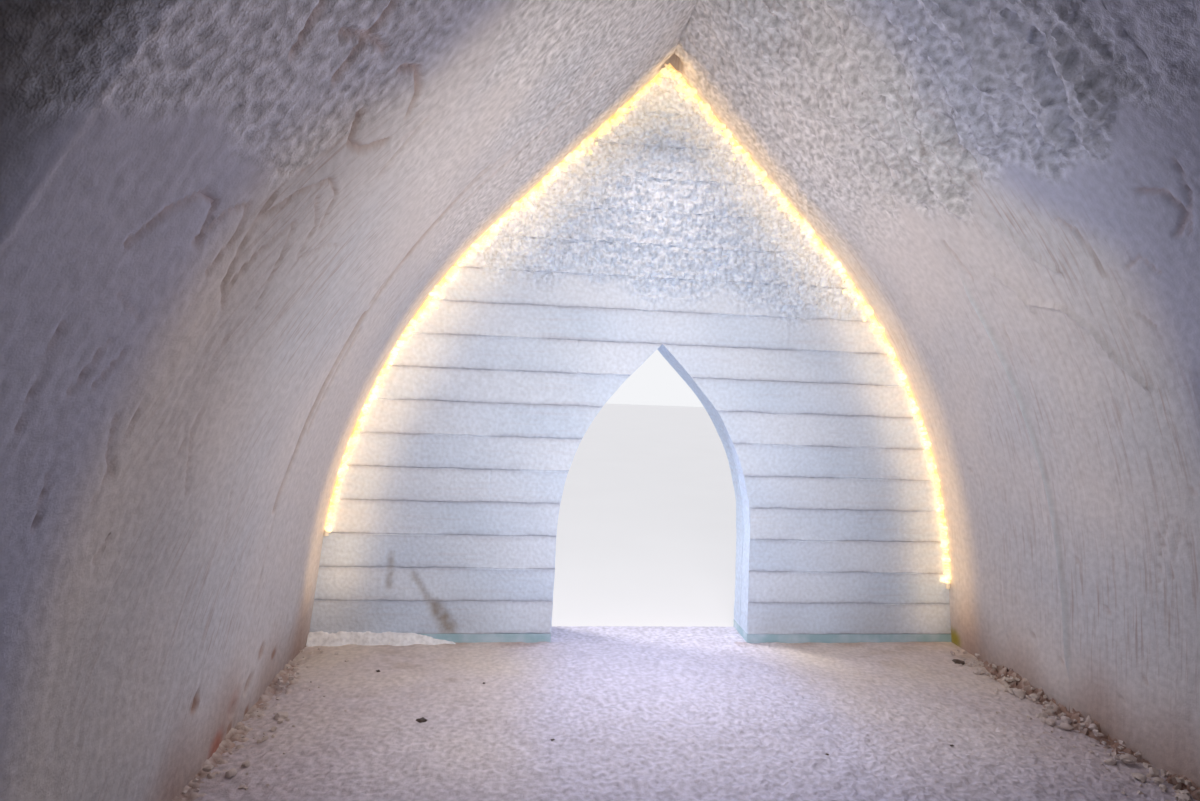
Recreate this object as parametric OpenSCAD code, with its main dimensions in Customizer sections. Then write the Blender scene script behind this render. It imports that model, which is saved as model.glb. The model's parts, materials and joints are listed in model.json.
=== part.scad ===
// Vaulted snow hall: a pointed snow vault cast bay by bay over a mould,
// closed at both ends by walls of sawn snow blocks with a pointed doorway.
// Units are millimetres, +Z is up and Z = 0 is the ground.
// The origin is on the ground under the middle of the hall, and +Y runs to the entrance wall.

/* [Hall] */
// Clear width of the hall at floor level
hall_w = 4300; // [3800:10:4800]
// Height of the straight foot of the vault above the floor
leg_h = 540; // [400:10:800]
// Inward lean of the straight foot, in degrees from the vertical
leg_lean = 6.2; // [4:0.1:8]
// Radius of the curved haunch
haunch_r = 3650; // [3300:10:4000]
// Slope of the straight crown, in degrees from the vertical
crown_slope = 44.6; // [43:0.1:46]
// Number of mould bays
bays = 6; // [3:1:6]
// Length of one mould bay
bay_len = 1450; // [1200:10:1800]

/* [Vault shell] */
// Thickness of the vault at the ground
foot_t = 850; // [700:10:1100]
// Height of the straight outer foot above the ground
outer_leg_h = 700; // [500:10:900]
// Inward lean of the outer foot, in degrees from the vertical
outer_lean = 12; // [10:0.5:14]
// Radius of the outer haunch
outer_haunch_r = 4000; // [3900:10:4300]
// Slope of the outer crown, in degrees from the vertical
outer_crown_slope = 46; // [45:0.1:47]
// Radius of the rounded outer ridge
ridge_r = 450; // [250:10:600]

/* [Mould joints] */
// Width of the groove that the mould leaves between two bays
groove_w = 30; // [10:1:60]
// Depth of that groove
groove_d = 12; // [4:1:30]

/* [Vents] */
// Bore of the vent shaft through the ridge
vent_d = 150; // [80:5:250]
// Snow left between the vent shaft and the end wall
vent_offset = 10; // [5:5:200]

/* [End walls] */
// Thickness of an end wall
wall_t = 300; // [200:10:400]
// How far the wall stands back from the end of the vault
wall_recess = 80; // [20:5:300]
// Height of one course of snow blocks
course_h = 213; // [190:1:230]
// Courses in the piers beside the doorway
pier_courses = 8; // [8:1:9]
// Courses in the lintel band that the doorway's point reaches into
lintel_courses = 2; // [2:1:3]
// Courses in the gable above the lintel band
gable_courses = 4; // [2:1:4]

/* [Doorway] */
// Clear width of the doorway at floor level
door_w = 1315; // [1000:5:1500]
// Height of the doorway's straight jamb above the floor
door_leg_h = 720; // [600:10:780]
// Inward lean of the jamb, in degrees from the vertical
door_lean = 1; // [0.5:0.5:3]
// Radius of the doorway's curve
door_r = 1500; // [1300:10:1600]
// Slope of the doorway's straight point, in degrees from the vertical
door_slope = 43.5; // [42:0.5:46]
// Sideways offset of the doorway from the middle of the wall
door_shift = 30; // [-200:10:200]

/* [Floor and ice] */
// Thickness of the packed snow floor
floor_t = 60; // [40:5:100]
// Height of the ice strip above the floor
ice_h = 55; // [30:5:90]

/* [Snow banks] */
// Width of the bank of crumbled snow along the foot of the vault
bank_w = 210; // [100:10:300]
// Height of that bank against the vault
bank_h = 140; // [60:10:200]
// Hollow of the bank's face below a straight slope
bank_hollow = 25; // [5:1:40]

/* [Light rope] */
// Diameter of the light rope
rope_d = 24; // [12:1:40]
// Height above the floor at which the rope starts on the left
rope_start_left = 700; // [300:10:1200]
// Height above the floor at which the rope starts on the right
rope_start_right = 400; // [300:10:1200]
// Length of the rope's end caps and of the sleeves that join its lengths
cap_len = 40; // [20:1:60]
// Wall of the caps and sleeves outside the rope
cap_wall = 3; // [1:0.5:6]

/* [Fit] */
// Gap left between two pieces that are packed against each other
seat_gap = 0.3; // [0.1:0.1:0.8]

/* [Hidden] */
$fn = 96;
ARC_FN = 360;
ROPE_JOIN = 1;
SIDES = ["left", "right"];
ENDS = ["entrance", "rear"];
hall_len = bays * bay_len;
wall_face = hall_len / 2 - wall_recess - wall_t;
ice_top = floor_t + ice_h;
lintel_base = ice_top + pier_courses * course_h;
gable_base = lintel_base + lintel_courses * course_h;
peak_base = gable_base + gable_courses * course_h;
vent_y = wall_face - vent_offset - vent_d / 2;
far = 12000;

// An arch is [half width on the ground, lean, height of the leg, radius, slope, ridge radius]
function arch(half_w, lean, leg, r, slope, ridge = 0) = [half_w, lean, leg, r, slope, ridge];
function polar(r, angle) = [r * cos(angle), r * sin(angle)];
function leg_top(a) = [a[0] - a[2] * tan(a[1]), a[2]];
function arc_centre(a) = leg_top(a) - polar(a[3], a[1]);
function arc_end(a) = arc_centre(a) + polar(a[3], a[4]);
function point_z(a) = arc_end(a)[1] + arc_end(a)[0] / tan(a[4]);
function ridge_z(a) = point_z(a) - a[5] / sin(a[4]);
function crown_end(a) = [0, ridge_z(a)] + polar(a[5], a[4]);
// The same arch with every face moved inwards by d
function inset_arch(a, d) = arch(
    a[0] - d / cos(a[1]), a[1], arc_centre(a)[1] + (a[3] - d) * sin(a[1]), a[3] - d, a[4]);
// An arch stated at floor level, carried down to the ground
function from_floor(half_w, lean, leg, r, slope) =
    arch(half_w + floor_t * tan(lean), lean, leg + floor_t, r, slope);

inner = from_floor(hall_w / 2, leg_lean, leg_h, haunch_r, crown_slope);
outer = arch(inner[0] + foot_t, outer_lean, outer_leg_h, outer_haunch_r, outer_crown_slope, ridge_r);
wall_outline = inset_arch(inner, seat_gap);
doorway = from_floor(door_w / 2, door_lean, door_leg_h, door_r, door_slope);
rope_line = inset_arch(inner, rope_d / 2 + cap_wall + seat_gap);

// Right half of an arch, as a closed outline standing on the ground
module half_arch(a) {
    swell = polar(a[3], (a[1] + a[4]) / 2);
    polygon([[0, 0], [a[0], 0], leg_top(a), arc_end(a), crown_end(a), [0, ridge_z(a)]]);
    intersection() {
        translate(arc_centre(a)) circle(a[3], $fn = ARC_FN);
        polygon([leg_top(a), leg_top(a) + swell, arc_end(a) + swell, arc_end(a)]);
    }
    if (a[5] > 0)
        intersection() {
            translate([0, ridge_z(a)]) circle(a[5]);
            polygon([[0, ridge_z(a)], [0, 0] + [0, ridge_z(a)] + polar(2 * a[5], a[4]),
                [0, ridge_z(a) + 2 * a[5]]]);
        }
}

module whole_arch(a) {
    half_arch(a);
    mirror([1, 0]) half_arch(a);
}

// Stands an outline up in the XZ plane and runs it from y0 to y1
module run_along(y0, y1) {
    translate([0, y1, 0]) rotate([90, 0, 0]) linear_extrude(y1 - y0) children();
}

// Turns what is built at the entrance end round to the rear end
module at_end(end) {
    rotate(end == "rear" ? 180 : 0) children();
}

module on_side(side) {
    mirror([side == "left" ? 1 : 0, 0, 0]) children();
}

// One bay of the vault, from its springing to the ridge, on one side of the hall
module vault_bay(i, side) {
    y1 = hall_len / 2 - (i - 1) * bay_len;
    y0 = y1 - bay_len;
    color("whitesmoke") on_side(side)
        difference() {
            run_along(y0, y1) difference() {
                half_arch(outer);
                half_arch(inner);
            }
            if (i < bays) run_along(y0 - 1, y0 + groove_w / 2) half_arch(inset_arch(inner, -groove_d));
            if (i > 1) run_along(y1 - groove_w / 2, y1 + 1) half_arch(inset_arch(inner, -groove_d));
            if (i == 1) vent_shaft(vent_y);
            if (i == bays) vent_shaft(-vent_y);
        }
}

module vent_shaft(y) {
    translate([0, y, point_z(inner) - vent_d]) cylinder(h = far, d = vent_d);
}

// The part of an end wall between two heights, trimmed to the vault and cut by the doorway
module wall_band(z0, z1, from_x = -far, to_x = far) {
    run_along(wall_face, wall_face + wall_t) difference() {
        intersection() {
            whole_arch(wall_outline);
            translate([from_x, z0]) square([to_x - from_x, z1 - z0]);
        }
        translate([door_shift, 0]) whole_arch(doorway);
    }
}

module side_band(side, z0, z1) {
    if (side == "left") wall_band(z0, z1, to_x = door_shift);
    else wall_band(z0, z1, from_x = door_shift);
}

module ice_strip(end, side) {
    color("paleturquoise") at_end(end) side_band(side, 0, ice_top);
}

module pier(end, side) {
    color("ghostwhite") at_end(end) side_band(side, ice_top, lintel_base);
}

module lintel_band(end) {
    color("ghostwhite") at_end(end) wall_band(lintel_base, gable_base);
}

module gable_band(end) {
    color("ghostwhite") at_end(end) wall_band(gable_base, peak_base);
}

module peak_blocks(end) {
    color("ghostwhite") at_end(end) wall_band(peak_base, far);
}

// Packed snow between the jambs, with a short ramp out to the ground
module threshold(end) {
    color("aliceblue") at_end(end) intersection() {
        run_along(wall_face + seat_gap, wall_face + wall_t + wall_recess)
            translate([door_shift, 0]) whole_arch(inset_arch(doorway, seat_gap));
        rotate([90, 0, 90]) translate([0, 0, -far / 2]) linear_extrude(far)
            polygon([[wall_face, 0], [wall_face, floor_t], [wall_face + wall_t, floor_t],
                [wall_face + wall_t + wall_recess, floor_t / 4], [wall_face + wall_t + wall_recess, 0]]);
    }
}

module snow_floor() {
    color("linen") run_along(-wall_face + seat_gap, wall_face - seat_gap) intersection() {
        whole_arch(wall_outline);
        translate([-far / 2, 0]) square([far, floor_t]);
    }
}

// Crumbled snow along the foot of the vault, hollow in section
module snow_bank(side) {
    foot_x = wall_outline[0] - floor_t * tan(leg_lean);
    top_x = foot_x - bank_h * tan(leg_lean);
    color("linen") on_side(side) run_along(-wall_face + seat_gap, wall_face - seat_gap)
        polygon([[foot_x - bank_w, floor_t], [foot_x, floor_t], [top_x, floor_t + bank_h],
            [foot_x - bank_w / 2 + bank_hollow, floor_t + bank_h / 2 - bank_hollow]]);
}

// Where the rope ends: on the straight leg if it starts low enough, otherwise on the haunch
function rope_start_angle(z) = z < rope_line[2] ? leg_lean
    : asin((z - arc_centre(rope_line)[1]) / rope_line[3]);
function rope_start_point(z) = z < rope_line[2] ? [rope_line[0] - z * tan(leg_lean), z]
    : arc_centre(rope_line) + polar(rope_line[3], rope_start_angle(z));

// Half of the light rope, from its start height round the haunch and up the crown, mitred
// where it meets the other half under the ridge; sleeves join the straight lengths to the bent one
module half_rope(start) {
    centre = arc_centre(rope_line);
    foot = rope_start_point(start);
    foot_angle = rope_start_angle(start);
    leg_len = (rope_line[2] - start) / cos(leg_lean);
    crown = arc_end(rope_line);
    crown_len = crown[0] / sin(crown_slope);
    if (leg_len > 0)
        translate([foot[0], 0, foot[1]]) rotate([0, -leg_lean, 0]) {
            cylinder(h = leg_len - ROPE_JOIN, d = rope_d);
            translate([0, 0, leg_len]) sleeve();
        }
    translate([centre[0], 0, centre[1]]) rotate([90, 0, 0]) rotate(foot_angle)
        rotate_extrude(angle = crown_slope - foot_angle, $fn = ARC_FN)
            translate([rope_line[3], 0]) circle(d = rope_d);
    translate([crown[0], 0, crown[1]]) rotate([0, -crown_slope, 0]) sleeve();
    intersection() {
        translate([crown[0], 0, crown[1]]) rotate([0, -crown_slope, 0])
            translate([0, 0, ROPE_JOIN]) cylinder(h = crown_len + rope_d, d = rope_d);
        translate([0, -rope_d, 0]) cube([far, 2 * rope_d, far]);
    }
}

module sleeve() {
    translate([0, 0, -cap_len / 2]) cylinder(h = cap_len, d = rope_d + 2 * cap_wall);
}

module at_rope_line() {
    translate([0, wall_face - rope_d / 2 - cap_wall - seat_gap, 0]) children();
}

module light_rope(end) {
    color("gold") at_end(end) at_rope_line() {
        half_rope(floor_t + rope_start_right);
        mirror([1, 0, 0]) half_rope(floor_t + rope_start_left);
    }
}

// A cup over each end of the rope
module rope_cap(start) {
    foot = rope_start_point(start);
    translate([foot[0], 0, foot[1]]) rotate([0, -rope_start_angle(start), 0]) difference() {
        sleeve();
        cylinder(h = cap_len, d = rope_d + 2 * seat_gap);
    }
}

module rope_caps(end) {
    color("dimgray") at_end(end) at_rope_line() {
        rope_cap(floor_t + rope_start_right);
        mirror([1, 0, 0]) rope_cap(floor_t + rope_start_left);
    }
}

for (i = [1:bays], side = SIDES)
    vault_bay(i, side);
for (end = ENDS, side = SIDES) {
    pier(end, side);
    ice_strip(end, side);
}
for (end = ENDS) {
    lintel_band(end);
    gable_band(end);
    peak_blocks(end);
    threshold(end);
    light_rope(end);
    rope_caps(end);
}
snow_floor();
snow_bank("left");  // left_snow_bank
snow_bank("right");  // right_snow_bank
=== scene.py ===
# %% [markdown]
# # A vaulted snow hall, dressed around its CAD frame
# The hall is a pointed snow vault, cast bay by bay over a mould, with a wall of sawn snow blocks at each end.
# The CAD nodes give every piece its place. The cells below rebuild the snow surfaces with real relief, because
# rough frost, trowel marks and crumbled edges are what makes snow read as snow.

# %% Load the frame
import bmesh
import bpy
import json
import random
import numpy as np
from math import ceil, cos, hypot, pi, radians, sin, tan
from mathutils import Matrix, Vector

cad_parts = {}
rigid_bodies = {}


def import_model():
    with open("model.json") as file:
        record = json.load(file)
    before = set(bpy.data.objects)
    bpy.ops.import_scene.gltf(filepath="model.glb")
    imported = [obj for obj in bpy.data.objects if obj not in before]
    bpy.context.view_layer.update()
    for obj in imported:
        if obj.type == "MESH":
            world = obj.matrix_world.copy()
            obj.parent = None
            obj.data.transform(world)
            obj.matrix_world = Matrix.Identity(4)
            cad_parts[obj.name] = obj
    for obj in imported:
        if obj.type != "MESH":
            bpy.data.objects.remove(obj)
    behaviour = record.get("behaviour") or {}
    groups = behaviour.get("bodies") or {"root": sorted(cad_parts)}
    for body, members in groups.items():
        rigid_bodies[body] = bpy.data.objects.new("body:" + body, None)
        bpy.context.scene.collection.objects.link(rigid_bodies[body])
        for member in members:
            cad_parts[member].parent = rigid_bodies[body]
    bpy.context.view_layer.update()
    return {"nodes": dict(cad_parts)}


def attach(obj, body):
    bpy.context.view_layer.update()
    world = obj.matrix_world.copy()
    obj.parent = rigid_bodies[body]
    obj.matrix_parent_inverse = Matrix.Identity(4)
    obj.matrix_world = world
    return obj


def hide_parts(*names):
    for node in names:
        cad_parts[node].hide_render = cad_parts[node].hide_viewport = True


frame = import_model()

# %% [markdown]
# ## Camera
# The photograph was taken inside the hall, a step left of the middle, at eye height. The camera could be aimed
# with a constraint, but a small roll is part of the view, so its three axes are worked out and put in a matrix.

# %% Camera
EYE = Vector((-0.844, -0.555, 1.76))
YAW, PITCH, ROLL = radians(6.03), radians(-1.42), radians(2.24)
LENS_MM, SENSOR_MM = 21.0, 36.0

forward = Vector((sin(YAW) * cos(PITCH), cos(YAW) * cos(PITCH), sin(PITCH)))
level_right = Vector((cos(YAW), -sin(YAW), 0))
level_up = level_right.cross(forward)
right = level_right * cos(ROLL) + level_up * sin(ROLL)
up = level_up * cos(ROLL) - level_right * sin(ROLL)

bpy.ops.object.select_all(action="DESELECT")
bpy.ops.object.camera_add()
camera = bpy.context.object
camera.name = "photo_camera"
camera.data.lens = LENS_MM
camera.data.sensor_width = SENSOR_MM
camera.data.clip_start = 0.05
axes = Matrix((right, up, -forward)).transposed().to_4x4()
camera.matrix_world = Matrix.Translation(EYE) @ axes
bpy.context.scene.camera = camera
print("camera looks along", [round(v, 3) for v in forward])

# %% [markdown]
# ## Sizes
# Every arch of the hall has the same four parts: a straight leg that leans in, a curved haunch, a straight crown
# and, outside, a rounded ridge. One object per arch holds them, in metres and radians, as the CAD has them.

# %% Sizes of the hall
FLOOR = 0.06
HALL_LENGTH = 8.7
BAYS = 6
BAY = 1.45
WALL_FACE = 3.97
WALL_BACK = 4.27
WALL_MIDDLE = (WALL_FACE + WALL_BACK) / 2
COURSE = 0.213
ICE_TOP = 0.115
DOOR_SHIFT = 0.03
# the gap that the CAD leaves between neighbours
CLEARANCE = 0.0003


class Arch:
    """A pointed arch: half width at the ground, lean, leg height, haunch radius, crown slope and ridge radius."""

    def __init__(self, foot, lean, leg, radius, slope, ridge=0.0):
        self.foot, self.lean, self.leg, self.radius, self.slope, self.ridge = foot, lean, leg, radius, slope, ridge
        # corners as (x, z)
        self.top = (foot - leg * tan(lean), leg)
        self.centre = (self.top[0] - radius * cos(lean), leg - radius * sin(lean))
        self.end = (self.centre[0] + radius * cos(slope), self.centre[1] + radius * sin(slope))
        self.ridge_z = self.end[1] + self.end[0] / tan(slope) - ridge / sin(slope)
        self.crown = (ridge * cos(slope), self.ridge_z + ridge * sin(slope))
        self.leg_length = leg / cos(lean)
        self.haunch_length = radius * (slope - lean)
        self.crown_length = hypot(self.end[0] - self.crown[0], self.crown[1] - self.end[1])


def widened(arch, by):
    """The same arch with every face moved outwards."""
    radius = arch.radius + by
    return Arch(arch.foot + by / cos(arch.lean), arch.lean, arch.centre[1] + radius * sin(arch.lean), radius,
                arch.slope, arch.ridge)


INNER = Arch(2.15652, radians(6.2), 0.6, 3.65, radians(44.6))
OUTER = Arch(3.00652, radians(12.0), 0.7, 4.0, radians(46.0), 0.45)
DOOR = Arch(0.65855, radians(1.0), 0.78, 1.5, radians(43.5))
print("inside height:", round(INNER.crown[1] - FLOOR, 3), "door height:", round(DOOR.crown[1] - FLOOR, 3))

# %% [markdown]
# ## Small tools
# Blender's operators work on what is selected. These helpers empty the selection, pick edges by their place, and
# run one operator on a whole piece, so that the rest of the lesson stays short.

# %% Selection helpers
# places closer than this count as one place
NEAR = 1e-4


def clear_selection():
    """Leaves edit mode and deselects everything."""
    if bpy.context.object and bpy.context.object.mode != "OBJECT":
        bpy.ops.object.mode_set(mode="OBJECT")
    bpy.ops.object.select_all(action="DESELECT")


def activate(piece):
    clear_selection()
    piece.select_set(True)
    bpy.context.view_layer.objects.active = piece


def edit_edges(piece):
    activate(piece)
    bpy.ops.object.mode_set(mode="EDIT")
    bpy.ops.mesh.select_mode(type="EDGE")


def choose(piece, test):
    """In edit mode, selects the edges whose two ends pass the test."""
    shape = bmesh.from_edit_mesh(piece.data)
    for edge in shape.edges:
        edge.select_set(test(edge.verts[0].co, edge.verts[1].co))
    shape.select_flush(False)
    bmesh.update_edit_mesh(piece.data)


def choose_rim(piece, test=lambda a, b: True):
    """In edit mode, selects the open edges that pass the test."""
    shape = bmesh.from_edit_mesh(piece.data)
    for edge in shape.edges:
        edge.select_set(False)
    for edge in shape.edges:
        if edge.is_boundary and test(edge.verts[0].co, edge.verts[1].co):
            edge.select_set(True)
    bmesh.update_edit_mesh(piece.data)


def on_all(piece, operator, **settings):
    """Runs one mesh operator on the whole piece."""
    edit_edges(piece)
    bpy.ops.mesh.select_all(action="SELECT")
    operator(**settings)
    bpy.ops.object.mode_set(mode="OBJECT")


def shade(piece, sharp_angle):
    """Smooth shading, with a crisp edge where two faces meet at more than this many degrees."""
    activate(piece)
    bpy.ops.object.shade_smooth_by_angle(angle=radians(sharp_angle))


def place(piece, size):
    """Scales a new primitive and puts its place in its mesh."""
    piece.scale = size
    bpy.ops.object.transform_apply(location=True, rotation=True, scale=True)


def join(name, pieces):
    clear_selection()
    for piece in pieces:
        piece.select_set(True)
    bpy.context.view_layer.objects.active = pieces[0]
    if len(pieces) > 1:
        bpy.ops.object.join()
    pieces[0].name = name
    return pieces[0]


def places(piece):
    """The piece's vertices as an array of rows (x, y, z)."""
    rows = np.empty(len(piece.data.vertices) * 3)
    piece.data.vertices.foreach_get("co", rows)
    return rows.reshape(-1, 3)


def triangles(piece):
    return sum(len(face.vertices) - 2 for face in piece.data.polygons)

# %% [markdown]
# ## Relief
# Snow relief comes from the Displace modifier: a noise texture says how far each point moves, and a vertex group
# says where. Each modifier is applied at once, so the mesh itself has the real bumps in it.

# %% Relief helpers


def noise(name, size, kind="CLOUDS", octaves=2, hard=False):
    texture = bpy.data.textures.new(name, kind)
    texture.noise_scale = size
    if kind == "CLOUDS":
        texture.noise_depth = octaves
        texture.noise_type = "HARD_NOISE" if hard else "SOFT_NOISE"
    return texture


def smooth(values, low, high):
    """0 below low, 1 above high, and a soft step between."""
    t = np.clip((values - low) / (high - low), 0, 1)
    return t * t * (3 - 2 * t)


def weigh(piece, name, weights):
    """Stores weights from 0 to 1 as a vertex group, in 64 levels."""
    group = piece.vertex_groups.new(name=name)
    levels = np.round(np.clip(weights, 0, 1) * 64).astype(int)
    for level in np.unique(levels[levels > 0]):
        group.add(np.flatnonzero(levels == level).tolist(), level / 64, "REPLACE")
    return name


def paint(piece, name, values):
    """Stores a number from 0 to 1 per vertex, which a material can read by its name."""
    mark = piece.data.attributes.new(name, "FLOAT", "POINT")
    mark.data.foreach_set("value", np.clip(values, 0, 1).astype(np.float32))


def repaint(piece, name, values):
    """Raises an attribute that is there already to at least these values."""
    mark = piece.data.attributes[name]
    before = np.empty(len(piece.data.vertices), dtype=np.float32)
    mark.data.foreach_get("value", before)
    mark.data.foreach_set("value", np.maximum(before, values).astype(np.float32))


def relief(piece, depth, texture=None, group="", middle=0.5, along="NORMAL", uv=""):
    """Moves the surface by up to depth metres, where the texture and the group say so."""
    activate(piece)
    step = piece.modifiers.new("relief", "DISPLACE")
    step.strength = depth
    step.mid_level = middle if texture else 0.0
    step.direction = along
    step.vertex_group = group
    if texture:
        step.texture = texture
    if uv:
        step.texture_coords = "UV"
        step.uv_layer = uv
    bpy.ops.object.modifier_apply(modifier=step.name)


# %% [markdown]
# ## One arch-shaped sheet
# The vault's inner and outer skin, the doorway and the edge of the end walls are all the same form. A plane stands
# as the leg; its top edge is spun round the haunch and pulled up the crown. Then it is cut into even cells.

# %% Arch sheet
def arch_sheet(name, arch, y0, y1, cell):
    (top_x, top_z), (end_x, end_z), (crown_x, crown_z) = arch.top, arch.end, arch.crown
    clear_selection()
    bpy.ops.mesh.primitive_plane_add(size=1, location=((arch.foot + top_x) / 2, (y0 + y1) / 2, top_z / 2),
                                     rotation=(0, -pi / 2 - arch.lean, 0))
    sheet = bpy.context.object
    sheet.name = name
    place(sheet, (arch.leg_length, y1 - y0, 1))
    edit_edges(sheet)
    choose(sheet, lambda a, b: min(a.z, b.z) > top_z - NEAR)
    bpy.ops.mesh.spin(steps=ceil(arch.haunch_length / cell), angle=arch.slope - arch.lean,
                      center=(arch.centre[0], 0, arch.centre[1]), axis=(0, 1, 0))
    choose(sheet, lambda a, b: min(a.z, b.z) > end_z - NEAR)
    bpy.ops.mesh.extrude_region_move(TRANSFORM_OT_translate={"value": (crown_x - end_x, 0, crown_z - end_z)})
    if arch.ridge:
        bpy.ops.mesh.spin(steps=6, angle=pi / 2 - arch.slope, center=(0, 0, arch.ridge_z), axis=(0, 1, 0))
    for length, low in ((arch.leg_length, -NEAR), (arch.crown_length, end_z - NEAR)):
        choose(sheet, lambda a, b: abs(a.y - b.y) < NEAR and min(a.z, b.z) > low
               and abs((a - b).length - length) < NEAR)
        bpy.ops.mesh.subdivide(number_cuts=max(1, ceil(length / cell) - 1))
    choose(sheet, lambda a, b: abs(a.y - b.y) > NEAR)
    bpy.ops.mesh.subdivide(number_cuts=max(1, round((y1 - y0) / cell) - 1))
    bpy.ops.object.mode_set(mode="OBJECT")
    return sheet


def face_it(sheet, towards_middle):
    """Turns an open sheet's faces towards the hall's middle plane, or away from it."""
    first = sheet.data.polygons[0]
    if (first.normal.x * first.center.x < 0) != towards_middle:
        on_all(sheet, bpy.ops.mesh.flip_normals)


def to_left(piece):
    """Mirrors a piece to the hall's left side."""
    activate(piece)
    place(piece, (-1, 1, 1))


def run_up(arch, rows):
    """Distance of each point from the foot, measured up the arch."""
    x, z = np.abs(rows[:, 0]), rows[:, 2]
    turned = np.arctan2(z - arch.centre[1], x - arch.centre[0]) - arch.lean
    on_crown = arch.leg_length + arch.haunch_length + np.hypot(x - arch.end[0], z - arch.end[1])
    above_leg = np.where(z < arch.end[1], arch.leg_length + arch.radius * turned, on_crown)
    return np.where(z < arch.leg, z / cos(arch.lean), above_leg)


def inside_of(arch, rows):
    """Distance of each point from the arch, measured inwards."""
    x, z = np.abs(rows[:, 0]), rows[:, 2]
    angle = np.arctan2(z - arch.centre[1], x - arch.centre[0])
    off_leg = (arch.foot - x) * cos(arch.lean) - z * sin(arch.lean)
    off_crown = (arch.end[0] - x) * cos(arch.slope) + (arch.end[1] - z) * sin(arch.slope)
    off_haunch = np.where((angle > arch.lean) & (angle < arch.slope),
                          arch.radius - np.hypot(x - arch.centre[0], z - arch.centre[1]), np.inf)
    return np.minimum(np.minimum(off_leg, off_crown), off_haunch)


def unroll(piece, name, along, across):
    """Writes two numbers per vertex as a UV map."""
    layer = piece.data.uv_layers.new(name=name)
    corner = np.empty(len(piece.data.loops), dtype=np.int32)
    piece.data.loops.foreach_get("vertex_index", corner)
    layer.data.foreach_set("uv", np.column_stack((along[corner], across[corner])).ravel())


def close_up(piece):
    """Fills every open hole and points all faces outwards."""
    on_all(piece, bpy.ops.mesh.fill_holes, sides=0)
    on_all(piece, bpy.ops.mesh.normals_make_consistent, inside=False)

# %% [markdown]
# ## Marks on the snow
# People draw on such a vault with a finger and builders leave trowel strokes. Each mark is a short list of points:
# metres along the hall from its middle, and metres up the vault from the ground. The number before the points is the
# width in millimetres, and the one after it the depth, where a negative depth stands proud.

# %% Marks on the left side
LEFT_MARKS = [
    (16, 9, [(0.93, 2.08), (0.98, 2.18), (1.06, 2.25), (1.13, 2.24), (1.17, 2.14)]),
    (14, 8, [(1.15, 2.14), (1.20, 2.24), (1.27, 2.28), (1.31, 2.20), (1.28, 2.08)]),
    (14, 8, [(1.35, 2.34), (1.36, 2.20), (1.40, 2.06), (1.47, 2.00)]),
    (12, 7, [(1.42, 2.04), (1.47, 2.18), (1.56, 2.31), (1.62, 2.20), (1.66, 2.03)]),
    (14, 9, [(1.37, 2.27), (1.46, 2.38), (1.58, 2.47), (1.68, 2.45), (1.74, 2.34)]),
    (12, 7, [(1.58, 2.40), (1.70, 2.34), (1.73, 2.22)]),
    (10, 5, [(1.74, 2.22), (1.87, 2.30), (2.00, 2.33)]),
    (24, 12, [(0.95, 2.74), (1.00, 2.60)]),
    (24, 12, [(1.15, 2.92), (1.19, 2.80), (1.22, 2.65)]),
    (22, 11, [(1.10, 2.72), (1.20, 2.78), (1.30, 2.80)]),
    (26, 13, [(1.44, 2.66), (1.52, 2.58), (1.62, 2.60), (1.72, 2.68)]),
    (26, 13, [(1.44, 2.82), (1.52, 2.87), (1.62, 2.85), (1.70, 2.78)]),
    (14, 8, [(1.84, 2.84), (1.86, 2.60)]),
    (10, 5, [(1.27, 2.39), (1.35, 2.40), (1.41, 2.45)]),
    (12, 6, [(1.06, 1.87), (1.02, 1.74)]),
    (12, 6, [(1.14, 1.85), (1.09, 1.76)]),
    (10, 5, [(1.31, 1.78), (1.33, 1.58), (1.31, 1.44)]),
    (10, 6, [(1.23, 1.68), (1.28, 1.57), (1.35, 1.50)]),
    (10, 5, [(0.89, 1.90), (0.90, 1.77), (0.92, 1.66)]),
    (10, 5, [(1.67, 1.62), (1.84, 1.37)]),
    (9, 4, [(2.13, 1.61), (2.19, 1.41), (2.34, 1.09)]),
    (9, 4, [(1.69, 1.72), (1.66, 1.52)]),
    (12, 6, [(1.08, 1.55), (1.11, 1.41)]),
    (14, 6, [(1.45, 1.31), (1.42, 1.25)]),
    (8, 4, [(0.99, 1.98), (1.12, 1.93), (1.22, 2.02)]),
    (9, 4, [(1.52, 1.95), (1.50, 1.84)]),
    (9, 4, [(1.60, 1.93), (1.56, 1.80)]),
    (8, -4, [(0.70, 2.15), (0.81, 2.19)]),
    (12, 6, [(2.92, 2.42), (2.89, 2.27), (2.91, 2.14)]),
    (46, 17, [(2.87, 1.12), (2.88, 1.45), (2.885, 1.75), (2.875, 2.12)]),
    (28, 12, [(2.96, 1.50), (2.955, 1.80), (2.95, 2.05)]),
    (34, 12, [(2.86, 2.20), (2.875, 2.65), (2.86, 3.05)]),
    (60, 20, [(2.96, 0.22), (2.98, 0.24)]),
    (45, 16, [(2.80, 0.17), (2.81, 0.19)]),
    (40, 14, [(3.10, 0.34), (3.11, 0.36)]),
    (38, 12, [(2.35, 0.41), (2.36, 0.45)]),
    (26, 9, [(3.02, 2.85), (3.06, 3.25), (3.05, 3.70)]),
    (22, 8, [(3.30, 3.15), (3.33, 3.50)]),
    (26, 9, [(3.20, 3.62), (3.24, 4.05)]),
    (20, 7, [(3.48, 3.40), (3.50, 3.75)]),
]

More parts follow.
